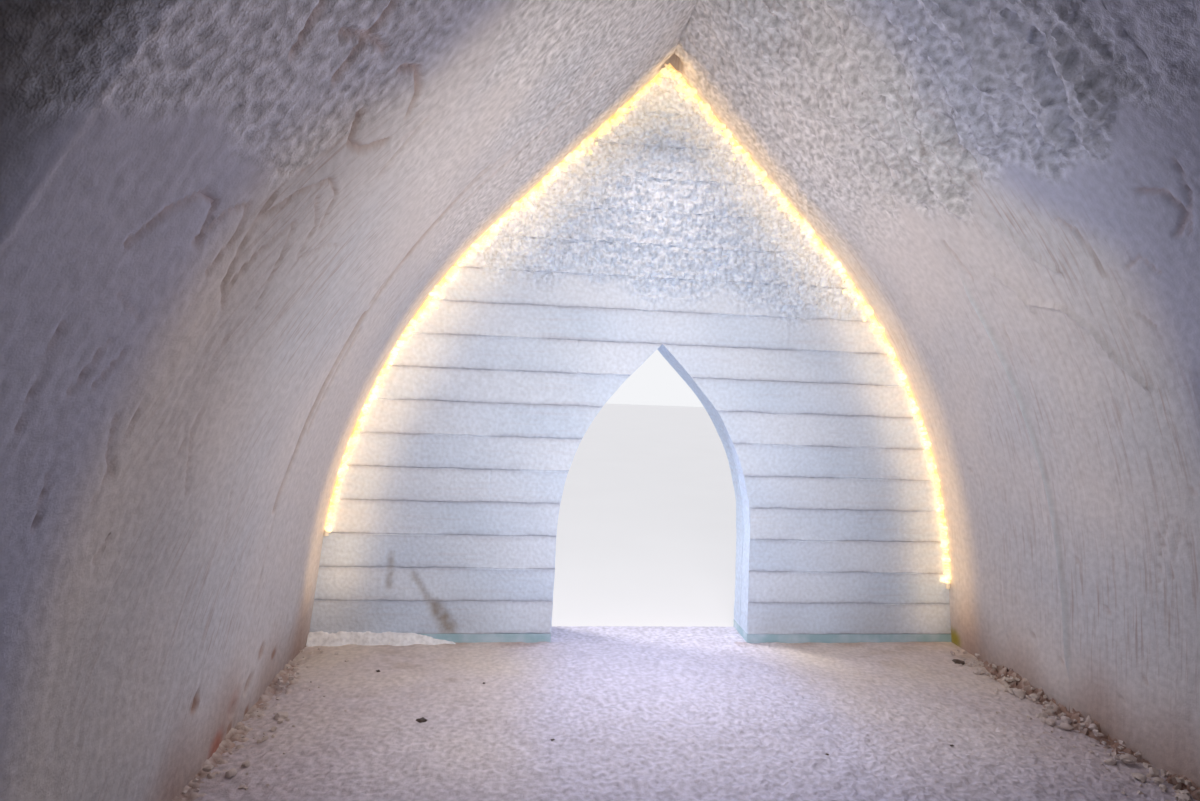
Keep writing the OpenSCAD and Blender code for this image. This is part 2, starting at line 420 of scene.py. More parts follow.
# %% Marks on the right side
RIGHT_MARKS = [
    (16, 8, [(2.13, 2.70), (2.08, 2.62), (2.06, 2.40)]),
    (22, 9, [(1.74, 2.71), (1.66, 2.68), (1.63, 2.58), (1.70, 2.51)]),
    (14, 7, [(1.96, 2.42), (1.88, 2.46), (1.84, 2.38)]),
    (12, 7, [(1.56, 2.78), (1.58, 2.65), (1.66, 2.50)]),
    (14, 6, [(2.02, 2.24), (1.97, 2.16)]),
    (24, -13, [(2.50, 2.88), (2.43, 2.74), (2.37, 2.57), (2.28, 2.47)]),
    (16, 7, [(2.86, 2.76), (2.84, 2.64), (2.83, 2.52)]),
    (22, -12, [(2.66, 2.53), (2.58, 2.42), (2.54, 2.30)]),
    (24, -13, [(2.53, 2.34), (2.36, 2.29), (2.27, 2.17), (2.22, 2.03), (2.12, 1.89)]),
    (14, 6, [(2.79, 2.25), (2.81, 2.10)]),
    (9, 6, [(2.29, 1.26), (2.25, 1.14), (2.24, 1.00)]),
    (9, 6, [(2.21, 1.28), (2.28, 1.12), (2.31, 0.97)]),
    (9, 5, [(2.14, 1.28), (2.23, 1.08)]),
    (9, 5, [(2.17, 1.30), (2.12, 1.17)]),
    (12, 3, [(3.42, 0.62), (3.43, 0.20)]),
    (10, 3, [(3.30, 0.90), (3.29, 0.55)]),
    (24, 6, [(2.06, 1.42), (2.07, 1.44)]),
    (26, 9, [(3.16, 0.40), (3.17, 0.41)]),
    (22, 8, [(2.95, 0.33), (2.96, 0.35)]),
    (24, 8, [(3.40, 0.30), (3.41, 0.31)]),
    (20, 8, [(3.55, 1.32), (3.56, 1.33)]),
    (26, 8, [(2.62, 0.72), (2.63, 0.74)]),
    (22, 8, [(2.55, 0.30), (2.57, 0.31)]),
    (20, 7, [(2.78, 0.93), (2.79, 0.95)]),
    (24, 8, [(2.42, 0.45), (2.43, 0.47)]),
]


MARKS = {"left": LEFT_MARKS, "right": RIGHT_MARKS}


def mark_weights(along, up_run, marks):
    """Where the drawn and the proud marks lie: highest on their middle line, 0 outside, scaled by their depth."""
    totals = {False: np.zeros(len(along)), True: np.zeros(len(along))}
    for width, depth, points in marks:
        reach = width / 1000 * 0.85
        nearest = np.full(len(along), np.inf)
        for (ay, au), (by, bu) in zip(points, points[1:]):
            dy, du = by - ay, bu - au
            t = np.clip(((along - ay) * dy + (up_run - au) * du) / (dy * dy + du * du), 0, 1)
            nearest = np.minimum(nearest, np.hypot(along - ay - t * dy, up_run - au - t * du))
        mark = (1 - smooth(nearest, 0.1 * reach, reach)) * abs(depth) / 20
        totals[depth < 0] = np.maximum(totals[depth < 0], mark)
    return totals[False], totals[True]


# %% Stains and scrapes
WALL_SCRAPES = [
    (42, 12, [(-1.66, 0.62), (-1.67, 0.42)]),
    (40, 12, [(-1.52, 0.50), (-1.40, 0.30), (-1.33, 0.14)]),
    (90, 20, [(-1.37, 0.29), (-1.29, 0.15)]),
]


def blot(along, up_run, y, s, reach):
    return 1 - smooth(np.hypot(along - y, up_run - s), 0.2 * reach, reach)


def foot_stains(along, up_run, side):
    """Soil that feet and meltwater leave low on the vault, and a stronger stain of its own colour."""
    wave = 0.5 + 0.25 * np.sin(along * 5.3 + 1) + 0.25 * np.sin(along * 12.1)
    soil_and_painted_shade = (1 - smooth(up_run, 0.05, 0.30 + 0.35 * wave)) * (0.35 + 0.45 * wave)
    if side == "left":
        stained = 0.75 * blot(along, up_run, 2.64, 0.09, 0.11) + 0.25 * blot(along, up_run, 2.80, 0.22, 0.10)
        for y, s in ((2.96, 0.23), (3.0, 0.08), (2.79, 0.1), (3.09, 0.35), (2.35, 0.42), (3.3, 0.25)):
            soil_and_painted_shade = np.maximum(soil_and_painted_shade, blot(along, up_run, y, s, 0.06))
    else:
        stained = 0.9 * blot(along, up_run, 3.93, 0.10, 0.10)
    return soil_and_painted_shade, stained


print("marks:", {side: len(marks) for side, marks in MARKS.items()})

# %% [markdown]
# ## Snow textures for the vault
# Real snow has relief at every size: the swell of the mould boards, wind-blown ridges, lumps of frost and single
# grains. Each is one noise with a size in metres. The finest grains are left to the material's bump.

# %% Textures for relief
SWELL = noise("swell_of_the_vault", 0.8)
DENTS = noise("dents_of_a_hand", 0.22)
RIDGES = noise("blown_ridges", 0.16, octaves=3)
CLUMPS = noise("clumps_of_frost", 0.05, octaves=3)
CRUST = noise("frost_crust", 0.034, octaves=3, hard=True)
POPCORN = noise("popcorn_frost", 0.034, "VORONOI")
FINE_FROST = noise("fine_frost", 0.016, octaves=3)
GRAIN = noise("coarse_grain", 0.018, octaves=2)
STREAKS = noise("trowel_streaks", 0.05, octaves=2)
LUMPS = noise("lumps_of_loose_snow", 0.09, octaves=2, hard=True)
DRIFT = noise("drifted_cover", 0.55, octaves=3)


def vault_zones(along, up_run, side):
    """How rough and how ridged each point of the vault is, and how near the end wall, all from 0 to 1."""
    wave = 0.07 * np.sin(along * 9) + 0.04 * np.sin(along * 23 + up_run * 5)
    if side == "left":
        low_edge = 2.24 + 0.13 * smooth(along, 0.5, 1.0) + 0.30 * smooth(along, 1.3, 1.6) + 0.3 * wave
        rough = smooth(up_run, low_edge - 0.03, low_edge + 0.05) * (1 - 0.75 * smooth(along, 1.35, 1.65))
        rough = np.maximum(rough, smooth(up_run, 3.0 + wave, 3.3 + wave) * 0.9)
        rough = np.maximum(rough, smooth(along, 2.98, 3.1) * smooth(up_run, 2.45 + wave, 2.9 + wave) * 0.6)
        ridged = smooth(up_run, 2.95, 3.4) * 0.26 + smooth(along, 2.95, 3.1) * smooth(up_run, 2.5, 3.0) * 0.2
        ridged = np.maximum(ridged, rough * (1 - smooth(along, 1.3, 1.5)) * 0.08)
    else:
        low_edge = 2.93 + wave + 0.25 * smooth(along, 3.0, 3.3)
        ridged = smooth(up_run, low_edge - 0.04, low_edge + 0.12)
        ridged *= np.where(along < 1.62, 0.35, 1.0) * (1 - 0.62 * smooth(along, 2.9, 3.2))
        rough = np.maximum(smooth(up_run, low_edge - 0.06, low_edge + 0.04),
                           smooth(along, 3.0, 3.1) * smooth(up_run, 2.75, 3.0) * 0.5)
        rough *= np.where(along < 1.5, 0.5, 1.0)
    near_wall = 1 - smooth(np.abs(along), WALL_FACE - 0.22, WALL_FACE - 0.04)
    return rough * (0.45 + 0.55 * near_wall), ridged * near_wall, near_wall


# %% [markdown]
# ## Vault bays
# Each bay and side is one closed lump of snow. Its inner and outer skins are made as sheets, given their relief while
# they are open, then bridged at the foot and the ridge. Bays that the photograph shows get finer cells.

# %% Rims and bridges
def square_up(skin, home):
    """Puts the rim of a displaced sheet back on its planes: the ground, the middle and both ends."""
    rows = places(skin)
    ends = (home[:, 1].min(), home[:, 1].max())
    for axis, level in ((0, 0.0), (1, ends[0]), (1, ends[1]), (2, 0.0)):
        rows[np.abs(home[:, axis] - level) < NEAR, axis] = level
    skin.data.vertices.foreach_set("co", rows.ravel())


def bridge_where(piece, test, cuts=0):
    """Bridges the two open rims whose edges pass the test."""
    edit_edges(piece)
    choose_rim(piece, test)
    bpy.ops.mesh.bridge_edge_loops(number_cuts=cuts, interpolation="LINEAR")
    bpy.ops.object.mode_set(mode="OBJECT")

# %% Glow of the rope, painted onto the snow
ROPE_STARTS = {"left": 0.76, "right": 0.46}


def beside_rope(up_run, start):
    """1 where the rope runs, with the brighter and dimmer stretches that its small lamps give behind the frost: the
    mask of the rope's glow that is painted onto the snow.
    """
    shimmer = 0.72 + 0.16 * np.sin(up_run * 97) + 0.12 * np.sin(up_run * 41 + 2)
    return smooth(up_run, start - 0.02, start + 0.06) * shimmer

# %% Seams between the casts
SEAM = 0.018
FIRST_SEAM = HALL_LENGTH / 2 - BAY


def seam_weights(along, up_run, side, y0, y1):
    """Where one cast meets the next: a proud lip where snow was pressed through the joint, and a groove."""
    near = 1 - smooth(np.minimum(np.abs(along - y0), np.abs(along - y1)), 0.003, SEAM)
    near = near * (HALL_LENGTH / 2 - np.abs(along) > 0.1)
    at_first = np.abs(along - FIRST_SEAM) < 0.1
    filled = np.abs(along - (FIRST_SEAM - BAY)) < 0.1
    if side == "right":
        lip = at_first * smooth(up_run, 0.2, 0.4) * (1 - smooth(up_run, 2.4, 2.6))
        groove = np.where(at_first | filled, 0.0, 0.6)
    else:
        lip = 0.0 * along
        open_part = (0.15 + 0.85 * smooth(up_run, 1.0, 1.7)) * (1 - 0.6 * smooth(up_run, 2.7, 2.9))
        groove = np.where(at_first, open_part * (0.75 + 0.25 * np.sin(up_run * 9)), np.where(filled, 0.0, 0.6))
    return near * lip, near * groove

# %% Inner and outer skin of a bay
# cell sizes in metres: fine where the photograph looks closely, plain elsewhere
CELLS = {("left", 1): 0.0150, ("left", 2): 0.0122, ("left", 3): 0.0135, ("right", 1): 0.0150, ("right", 2): 0.0122}
PLAIN_CELL = 0.03
COVER_CELL = 0.055
# depths of relief in metres, which differ from side to side
DEPTHS = {"left": {"ridges": 0.05, "clumps": 0.010, "grain": 0.006},
          "right": {"ridges": 0.20, "clumps": 0.024, "grain": 0.010}}
# painted shade: from here on towards the middle of the hall, which gets no light of its own, the vault is painted
# darker and bluer
HALL_SHADE_FROM = {"left": 1.10, "right": 1.80}


def inner_skin(number, side, y0, y1):
    cell, depths = CELLS.get((side, number), PLAIN_CELL), DEPTHS[side]
    skin = arch_sheet("skin", INNER, y0, y1, cell)
    rows = places(skin)
    along, up_run = rows[:, 1], run_up(INNER, rows)
    unroll(skin, "streaks", along, up_run * 0.12)
    unroll(skin, "ridges", along + 0.10 * np.sin(up_run * 2.1), up_run * 0.30)
    if side == "left":
        to_left(skin)
    face_it(skin, towards_middle=True)
    home = places(skin)
    rough, ridged, near_wall = vault_zones(along, up_run, side)
    relief(skin, 0.018, SWELL, weigh(skin, "everywhere", 0.25 + 0.75 * near_wall))
    relief(skin, 0.008, DENTS, "everywhere")
    relief(skin, depths["ridges"], RIDGES, weigh(skin, "ridged", ridged), uv="ridges")
    relief(skin, depths["clumps"], CLUMPS, "ridged")
    weigh(skin, "crusted", rough)
    if side == "left":
        relief(skin, 0.013, FINE_FROST, "crusted")
    else:
        relief(skin, -0.019, POPCORN, "crusted")
        relief(skin, 0.016, CRUST, "crusted")
    relief(skin, depths["grain"], GRAIN, "crusted")
    relief(skin, 0.006, STREAKS, weigh(skin, "smooth", (1 - rough) * near_wall), uv="streaks")
    drawn, proud = mark_weights(along, up_run, MARKS[side])
    relief(skin, -0.028, group=weigh(skin, "drawn", drawn))
    relief(skin, 0.026, group=weigh(skin, "proud", proud))
    lip, groove = seam_weights(along, up_run, side, y0, y1)
    relief(skin, 0.024, group=weigh(skin, "seam_proud", lip))
    relief(skin, -0.022, group=weigh(skin, "seam_groove", groove))
    square_up(skin, home)
    paint(skin, "rough", rough)
    soil_and_painted_shade, stained = foot_stains(along, up_run, side)
    # soil low on the vault, with painted shade in the drawn marks and in the seam grooves
    paint(skin, "soil_and_painted_shade", np.maximum(soil_and_painted_shade, np.maximum(drawn * 0.8, groove * 0.9)))
    paint(skin, "stained", stained)
    paint(skin, "fresh", np.maximum(lip, rough * 0.2))
    # painted shade: darker, bluer snow towards the middle of the hall
    reach = HALL_SHADE_FROM[side] + 0.34 * smooth(up_run, 2.4, 3.0)
    paint(skin, "painted_hall_shade", 0.8 * (1 - smooth(np.abs(along), reach, reach + 0.30)))
    # painted glow of the rope on the vault, strongest beside the end wall
    off = np.abs(np.abs(along) - WALL_FACE + 0.01)
    glow = 0.42 * np.exp(-off / 0.035) + 0.14 * np.exp(-off / 0.14)
    paint(skin, "painted_rope_glow", glow * beside_rope(up_run, ROPE_STARTS[side]))
    return skin


def outer_skin(side, y0, y1):
    skin = arch_sheet("cover", OUTER, y0, y1, COVER_CELL)
    if side == "left":
        to_left(skin)
    face_it(skin, towards_middle=False)
    home = places(skin)
    lift = smooth(home[:, 2], 0.0, 0.3) * (1 - 0.7 * smooth(home[:, 2], 4.0, 4.2))
    relief(skin, 0.15, DRIFT, weigh(skin, "cover", lift))
    relief(skin, 0.060, DENTS, "cover")
    relief(skin, 0.030, LUMPS, "cover")
    square_up(skin, home)
    paint(skin, "fresh", np.ones(len(home)))
    paint(skin, "rough", np.full(len(home), 0.35))
    return skin

# %% Both skins of every bay
def bay_span(number):
    """Where a bay begins and ends along the hall, with bay 1 at the entrance."""
    y1 = HALL_LENGTH / 2 - (number - 1) * BAY
    return y1 - BAY, y1


vault = {}
for number in range(1, BAYS + 1):
    for side in ("left", "right"):
        vault[number, side] = (inner_skin(number, side, *bay_span(number)), outer_skin(side, *bay_span(number)))
print("inner skin cells:", {f"{n} {s}": len(pair[0].data.polygons) for (n, s), pair in vault.items()})

# %% Close each bay
VENT_Y = 3.885
VENT_R = 0.075


def cut(piece, cutter, how="DIFFERENCE"):
    """Cuts a piece with another closed piece."""
    activate(piece)
    step = piece.modifiers.new("cut", "BOOLEAN")
    step.operation = how
    step.object = cutter
    step.solver = "MANIFOLD"
    bpy.ops.object.modifier_apply(modifier=step.name)


def bore_vent(bay, y):
    clear_selection()
    bpy.ops.mesh.primitive_cylinder_add(vertices=48, radius=VENT_R, depth=1.6, location=(0, y, 4.0))
    borer = bpy.context.object
    place(borer, (1, 1, 1))
    cut(bay, borer)
    bpy.data.objects.remove(borer)
    rows = places(bay)
    bore = np.hypot(rows[:, 0], rows[:, 1] - y) < VENT_R * 1.15
    # painted shade inside the bore of the vent
    repaint(bay, "soil_and_painted_shade", 0.35 * (bore & (rows[:, 2] < 4.1)))


def closed_bay(number, side, inside, outside):
    """Joins the two skins at foot and ridge; an outermost bay also gets its end face and its half of the vent."""
    end = {1: HALL_LENGTH / 2, BAYS: -HALL_LENGTH / 2}.get(number)
    cuts = 12 if end else 0
    bay = join(f"snow_vault_bay_{number}_{side}", [inside, outside])
    bridge_where(bay, lambda a, b: max(a.z, b.z) < NEAR, cuts)
    bridge_where(bay, lambda a, b: max(abs(a.x), abs(b.x)) < NEAR, cuts)
    if end:
        bridge_where(bay, lambda a, b: max(abs(a.y - end), abs(b.y - end)) < NEAR
                     and max(a.z, b.z) > NEAR and max(abs(a.x), abs(b.x)) > NEAR, cuts)
        on_all(bay, bpy.ops.mesh.remove_doubles, threshold=0.0006)
    close_up(bay)
    if end:
        rows = np.abs(places(bay))
        repaint(bay, "fresh", smooth(rows[:, 1], WALL_BACK - 0.02, WALL_BACK + 0.02))
        face = smooth(rows[:, 1], HALL_LENGTH / 2 - 0.05, HALL_LENGTH / 2 - 0.01)
        middle = smooth(rows[:, 0], 0.0, 0.06) * smooth(rows[:, 2], 0.0, 0.1)
        relief(bay, 0.030, DENTS, weigh(bay, "cut_end", face * middle))
        relief(bay, 0.010, CRUST, "cut_end")
        bore_vent(bay, VENT_Y if number == 1 else -VENT_Y)
    shade(bay, 50)
    return bay


SNOW_BAYS = {}
for (number, side), (inside, outside) in vault.items():
    bay = closed_bay(number, side, inside, outside)
    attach(bay, "root")
    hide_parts(f"vault_bay_{number}_{side}")
    SNOW_BAYS[number, side] = bay
print("vault triangles:", {f"{n} {s}": triangles(bay) for (n, s), bay in SNOW_BAYS.items()})

# %% [markdown]
# ## End walls of sawn blocks
# Snow blocks are sawn from a packed bed and laid dry in courses, so the joints are thin lines. Each block is a grid
# with a narrow rim pressed back; next to its neighbour that makes the joint. A prism of the vault's own outline,
# with the doorway left out of it, then trims each band of courses to shape.

# %% The trimming prism
def half_width(arch, z):
    """Half the arch's width at a height."""
    if z < arch.leg:
        return arch.foot - z * tan(arch.lean)
    if z < arch.end[1]:
        return arch.centre[0] + (arch.radius ** 2 - (z - arch.centre[1]) ** 2) ** 0.5
    return max(0.0, (arch.crown[1] - z) * tan(arch.slope))


def roughen_reveal(sheet):
    """The doorway's reveal is a little uneven, but its rim stays on its planes."""
    home = places(sheet)
    relief(sheet, 0.012, DENTS)
    relief(sheet, 0.005, LUMPS)
    rows = places(sheet)
    rows[:, 1] = home[:, 1]
    rows[home[:, 2] < NEAR, 2] = 0
    middle = np.abs(home[:, 0] - DOOR_SHIFT) < NEAR
    rows[middle, 0], rows[middle, 2] = DOOR_SHIFT, home[middle, 2]
    sheet.data.vertices.foreach_set("co", rows.ravel())


def wall_prism(name, y0, y1):
    faces = []
    for arch, cell, shift in ((widened(INNER, 0.025), 0.05, 0.0), (DOOR, 0.04, DOOR_SHIFT)):
        for left in (False, True):
            sheet = arch_sheet(f"{name}_sheet", arch, y0, y1, cell)
            if left:
                to_left(sheet)
            activate(sheet)
            bpy.ops.transform.translate(value=(shift, 0, 0))
            bpy.ops.object.transform_apply(location=True)
            if arch is DOOR:
                roughen_reveal(sheet)
            faces.append(sheet)
    prism = join(name, faces)
    on_all(prism, bpy.ops.mesh.remove_doubles, threshold=0.0002)
    for sign in (1, -1):
        bridge_where(prism, lambda a, b: max(a.z, b.z) < NEAR and a.x * sign > 0)
    close_up(prism)
    return prism

# %% One snow block
# the rim of a block's face, and how far it is pressed back at the block's ends and along its beds
RIM = 0.006
END_CHAMFER, BED_CHAMFER = 0.0015, 0.0055


def snow_block(x0, x1, z0, z1, near, far, cell, luck):
    """A block with its dressed face at y = near and its plain back at y = far."""
    clear_selection()
    wide, high, into = x1 - x0, z1 - z0, 1 if near < far else -1
    centre = ((x0 + x1) / 2, near, (z0 + z1) / 2)
    across, upwards = (max(2, round(length / cell)) for length in (wide, high))
    bpy.ops.mesh.primitive_grid_add(x_subdivisions=across, y_subdivisions=upwards, size=1, location=centre,
                                    rotation=(into * pi / 2, 0, 0))
    block = bpy.context.object
    place(block, (wide, high, 1))
    edit_edges(block)
    bpy.ops.mesh.select_all(action="SELECT")
    bpy.ops.mesh.inset(thickness=RIM, depth=0)
    bpy.ops.mesh.select_all(action="SELECT")
    bpy.ops.transform.translate(value=(0, luck.uniform(-0.002, 0.003) * into, 0))
    bpy.ops.transform.rotate(value=luck.uniform(-0.003, 0.003), orient_axis="X", center_override=centre)
    choose_rim(block, lambda a, b: abs(a.z - b.z) > NEAR)
    bpy.ops.transform.translate(value=(0, END_CHAMFER * into, 0))
    choose_rim(block, lambda a, b: abs(a.x - b.x) > NEAR)
    bpy.ops.transform.translate(value=(0, BED_CHAMFER * into, 0))
    choose_rim(block)
    back = far - near - (END_CHAMFER + BED_CHAMFER) * into
    bpy.ops.mesh.extrude_edges_move(TRANSFORM_OT_translate={"value": (0, back, 0)})
    bpy.ops.mesh.edge_face_add()
    bpy.ops.object.mode_set(mode="OBJECT")
    return block

# %% Courses of blocks
PIER_TOP, LINTEL_TOP, GABLE_TOP = (ICE_TOP + count * COURSE for count in (8, 10, 14))
WALL_BANDS = {"pier_left": (ICE_TOP, PIER_TOP), "pier_right": (ICE_TOP, PIER_TOP),
              "lintel_courses": (PIER_TOP, LINTEL_TOP), "gable_courses": (LINTEL_TOP, GABLE_TOP),
              "peak_blocks": (GABLE_TOP, 3.90)}


def course_ends(band, z0, z1):
    reach = half_width(INNER, z0) + 0.03
    gap = half_width(DOOR, z1) - 0.03
    if band == "pier_left":
        return -reach, DOOR_SHIFT - gap
    if band == "pier_right":
        return DOOR_SHIFT + gap, reach
    return -reach, reach


def block_layer(band, near, far, cells, luck):
    """All blocks of one band, laid from the bottom up, each course in its own lengths."""
    z0, top = WALL_BANDS[band]
    blocks = []
    while z0 < top - 0.01:
        z1 = min(z0 + COURSE, top)
        x, x_end = course_ends(band, z0, z1)
        while x < x_end - 0.01:
            long = luck.uniform(1.0, 2.2)
            x1 = x_end if x_end - x - long < 0.45 else x + long
            cell = cells[1] if z0 > 2.1 else cells[0]
            blocks.append(snow_block(x, x1, z0, z1, near, far, cell, luck))
            x = x1
        z0 = z1
    return blocks


# %% Relief of the block faces
HOAR = noise("hoar_clumps", 0.046, "VORONOI")
JOINT_DRIFT = noise("uneven_laying", 0.16)


def dress_wall(piece, side_seed):
    """Unevenness, the frost that grows in the warm air under the ridge, and the saw's grain."""
    rows = places(piece)
    x, y, z = rows.T
    outward = np.abs(np.abs(y) - WALL_MIDDLE) > 0.12
    hall_side = y < WALL_MIDDLE
    edge = 2.30 - 0.09 * x + 0.05 * np.sin(x * 7 + side_seed) + 0.03 * np.sin(x * 19)
    frost = smooth(z, edge - 0.05, edge + 0.18) * outward * np.where(hall_side, 1.0, 0.35)
    relief(piece, 0.013, JOINT_DRIFT, weigh(piece, "laid", outward * 0.9), along="Z")
    relief(piece, 0.010, JOINT_DRIFT, "laid", along="X")
    relief(piece, 0.016, SWELL, "laid", along="Y")
    relief(piece, 0.009, DENTS, "laid", along="Y")
    relief(piece, 0.052 if hall_side.any() else -0.052, HOAR, weigh(piece, "frosted", frost), along="Y")
    relief(piece, 0.034, CRUST, "frosted", along="Y")
    relief(piece, 0.008, CRUST, weigh(piece, "sawn", outward * (1 - 0.8 * frost)), along="Y")
    # some joints are packed with loose snow, and frost covers those higher up
    course = (z - ICE_TOP) / COURSE
    number, off_joint = np.round(course), np.abs(course - np.round(course)) * COURSE
    fill = smooth(np.sin(x * 2.7 + 1.9 * number) + 0.8 * np.sin(x * 9.1 + 5.3 * number), 0.1, 1.1)
    fill = np.maximum(fill, smooth(frost, 0.2, 0.6))
    on_joint = (off_joint < 0.0065) * hall_side * outward
    relief(piece, -0.0050, group=weigh(piece, "filled", on_joint * fill), along="Y")
    # grey along the open joints: the joint line itself, and painted shade where the block edges round off
    paint(piece, "joint", 0.6 * np.exp(-off_joint / 0.011) * (1 - 0.8 * fill) * (1 - frost) * outward)
    paint(piece, "rough", frost * 0.6)
    # every stretch of a course comes from another part of the snow bed
    lot = np.sin(3.1 * np.floor(course) + 1.3 * x + 0.9 * np.sin(2.1 * x)) * np.sin(x * 3.7 + z * 2.9)
    paint(piece, "fresh", outward * np.where(hall_side, (0.16 + 0.16 * lot) * (1 - frost) + 0.15 * frost, 0.85))
    # painted glow of the rope on the blocks, strongest beside the vault's edge
    off, start = inside_of(INNER, rows), np.where(x < 0, ROPE_STARTS["left"], ROPE_STARTS["right"])
    glow = 0.62 * np.exp(-off / 0.030) + 0.22 * np.exp(-off / 0.13)
    paint(piece, "painted_rope_glow", glow * beside_rope(run_up(INNER, rows), start) * outward * hall_side)
    patchy = 0.72 + 0.28 * np.sin(x * 61 + 2 * np.sin(z * 43)) * np.sin(z * 37 + 1.5 * np.sin(x * 29))
    scrape = mark_weights(x, z, WALL_SCRAPES)[0] * hall_side * outward * patchy
    relief(piece, 0.016, group=weigh(piece, "scraped", scrape), along="Y")
    low_down = hall_side * outward * 0.25 * (1 - smooth(z, 0.1, 0.5)) * (0.5 + 0.5 * np.sin(x * 9))
    paint(piece, "soil_and_painted_shade", scrape * 1.1 + low_down)

# %% Build both end walls
BACK_CELLS = (0.05, 0.04)


def turned_to_rear(piece):
    activate(piece)
    bpy.ops.transform.rotate(value=pi, orient_axis="Z", center_override=(0, 0, 0))
    bpy.ops.object.transform_apply(location=True, rotation=True, scale=True)


for end, cells, seed in (("entrance", (0.016, 0.0105), 11), ("rear", (0.03, 0.024), 23)):
    prism = wall_prism("wall_outline", WALL_FACE - 0.06, WALL_BACK + 0.06)
    for band in WALL_BANDS:
        luck = random.Random(f"{seed} {band}")
        layers = []
        for near, sizes in ((WALL_FACE, cells), (WALL_BACK, BACK_CELLS)):
            layer = join(band, block_layer(band, near, WALL_MIDDLE, sizes, luck))
            dress_wall(layer, seed)
            layers.append(layer)
        wall = join(f"{end}_snow_blocks_{band}", layers)
        cut(wall, prism, "INTERSECT")
        if end == "rear":
            turned_to_rear(wall)
        shade(wall, 40)
        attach(wall, "root")
        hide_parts(f"{end}_{band}")
        print(wall.name, "triangles:", triangles(wall))
    bpy.data.objects.remove(prism)

# %% [markdown]
# ## Floor and thresholds
# The floor is snow trodden by many feet: flat on the whole, dimpled by heels, and strewn with loose grains. It is
# one slab in the CAD. Here it is made of two grids, a fine one by the entrance wall and a plain one for the rest.

# %% A slab with a worked top
TREAD = noise("dimples_of_feet", 0.13, octaves=3)
SCATTER = noise("loose_grains", 0.040, octaves=5)
# what lies above this height belongs to a slab's upper face
UPPER_FROM = 0.02


def slab(name, x0, x1, y0, y1, top, cell):
    """A closed slab from the ground to top, with a grid for its upper face."""
    clear_selection()
    bpy.ops.mesh.primitive_grid_add(x_subdivisions=ceil((x1 - x0) / cell), y_subdivisions=ceil((y1 - y0) / cell),
                                    size=1, location=((x0 + x1) / 2, (y0 + y1) / 2, top))
    made = bpy.context.object
    made.name = name
    place(made, (x1 - x0, y1 - y0, 1))
    edit_edges(made)
    choose_rim(made)
    bpy.ops.mesh.extrude_edges_move(TRANSFORM_OT_translate={"value": (0, 0, -top)})
    bpy.ops.mesh.edge_face_add()
    bpy.ops.object.mode_set(mode="OBJECT")
    return made


# %% Trodden floor
FINE_FROM = 1.6
floor_half = half_width(INNER, 0.0)
fine_floor = slab("floor_by_the_entrance", -floor_half, floor_half, FINE_FROM, WALL_FACE - CLEARANCE, FLOOR, 0.0160)
plain_floor = slab("floor_of_the_hall", -floor_half, floor_half, -WALL_FACE + CLEARANCE, FINE_FROM, FLOOR, 0.045)
for part in (fine_floor, plain_floor):
    x, y, z = places(part).T
    upper = z > UPPER_FROM
    path = 1 - smooth(np.abs(x - 0.05), 0.5, 1.1)
    relief(part, 0.016, SWELL, weigh(part, "top", upper * 1.0), along="Z")
    relief(part, 0.024, TREAD, weigh(part, "trodden", upper * (0.55 + 0.45 * path)), along="Z")
    front = 1 - smooth(y, 2.6, 3.7)
    strewn = upper * np.clip(0.25 + 0.55 * front + 0.35 * path, 0, 1)
    relief(part, 0.026, SCATTER, weigh(part, "strewn", strewn), along="Z")
    paint(part, "rough", strewn * 0.55)
    paint(part, "path", path * (0.55 + 0.45 * smooth(y, 2.0, 3.4)) + 0.45 * front)
    # painted shade: the floor is darker and bluer towards the middle of the hall
    paint(part, "painted_hall_shade", 0.75 * (1 - smooth(np.abs(y), 1.7, 2.7)))
    by_vault = 0.30 * smooth(np.abs(x), 1.2, 2.0) * (0.6 + 0.4 * np.sin(y * 3))
    by_wall = smooth(y, WALL_FACE - 0.12, WALL_FACE - 0.01) * (0.5 + 0.5 * np.sin(x * 14 + np.sin(x * 5)))
    paint(part, "soil_and_painted_shade", np.maximum(by_vault, 0.45 * by_wall * (np.abs(x) > 0.6)))
snow_floor = join("trodden_snow_floor", [fine_floor, plain_floor])
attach(snow_floor, "root")
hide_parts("snow_floor")
print("floor triangles:", triangles(snow_floor))

# %% Thresholds
for end, cell in (("entrance", 0.016), ("rear", 0.03)):
    reach = half_width(DOOR, 0.0) - CLEARANCE
    sill = slab(f"{end}_trodden_threshold", DOOR_SHIFT - reach, DOOR_SHIFT + reach, WALL_FACE + CLEARANCE,
                HALL_LENGTH / 2, FLOOR, cell)
    x, y, z = places(sill).T
    ramp = (z > UPPER_FROM) * np.clip((y - WALL_BACK) / 0.08, 0, 1)
    relief(sill, -0.045, group=weigh(sill, "ramp", ramp), along="Z")
    trodden = (z > UPPER_FROM) * (1 - smooth(y, 4.2, 4.34))
    relief(sill, 0.014, TREAD, weigh(sill, "trodden", trodden), along="Z")
    relief(sill, 0.014, SCATTER, "trodden", along="Z")
    paint(sill, "path", np.ones(len(x)))
    paint(sill, "rough", np.full(len(x), 0.5))
    if end == "rear":
        turned_to_rear(sill)
    shade(sill, 50)
    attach(sill, "root")
    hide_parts(f"{end}_threshold")

# %% [markdown]
# ## Crumbs along the foot of the vault
# Warm air and passing feet break crumbs off the vault, and they lie where they fall. The bank is a strip whose top
# is raised towards the wall. Loose crumbs are copies of a few small rounded blocks, each copy with its own mesh.

# %% Snow banks
BANK_W, BANK_H = 0.21, 0.14
LOW_RIM = FLOOR - 0.012
PITS = noise("pits_of_crumbling_snow", 0.055, octaves=2, hard=True)
BANK_FOOT = half_width(INNER, FLOOR)


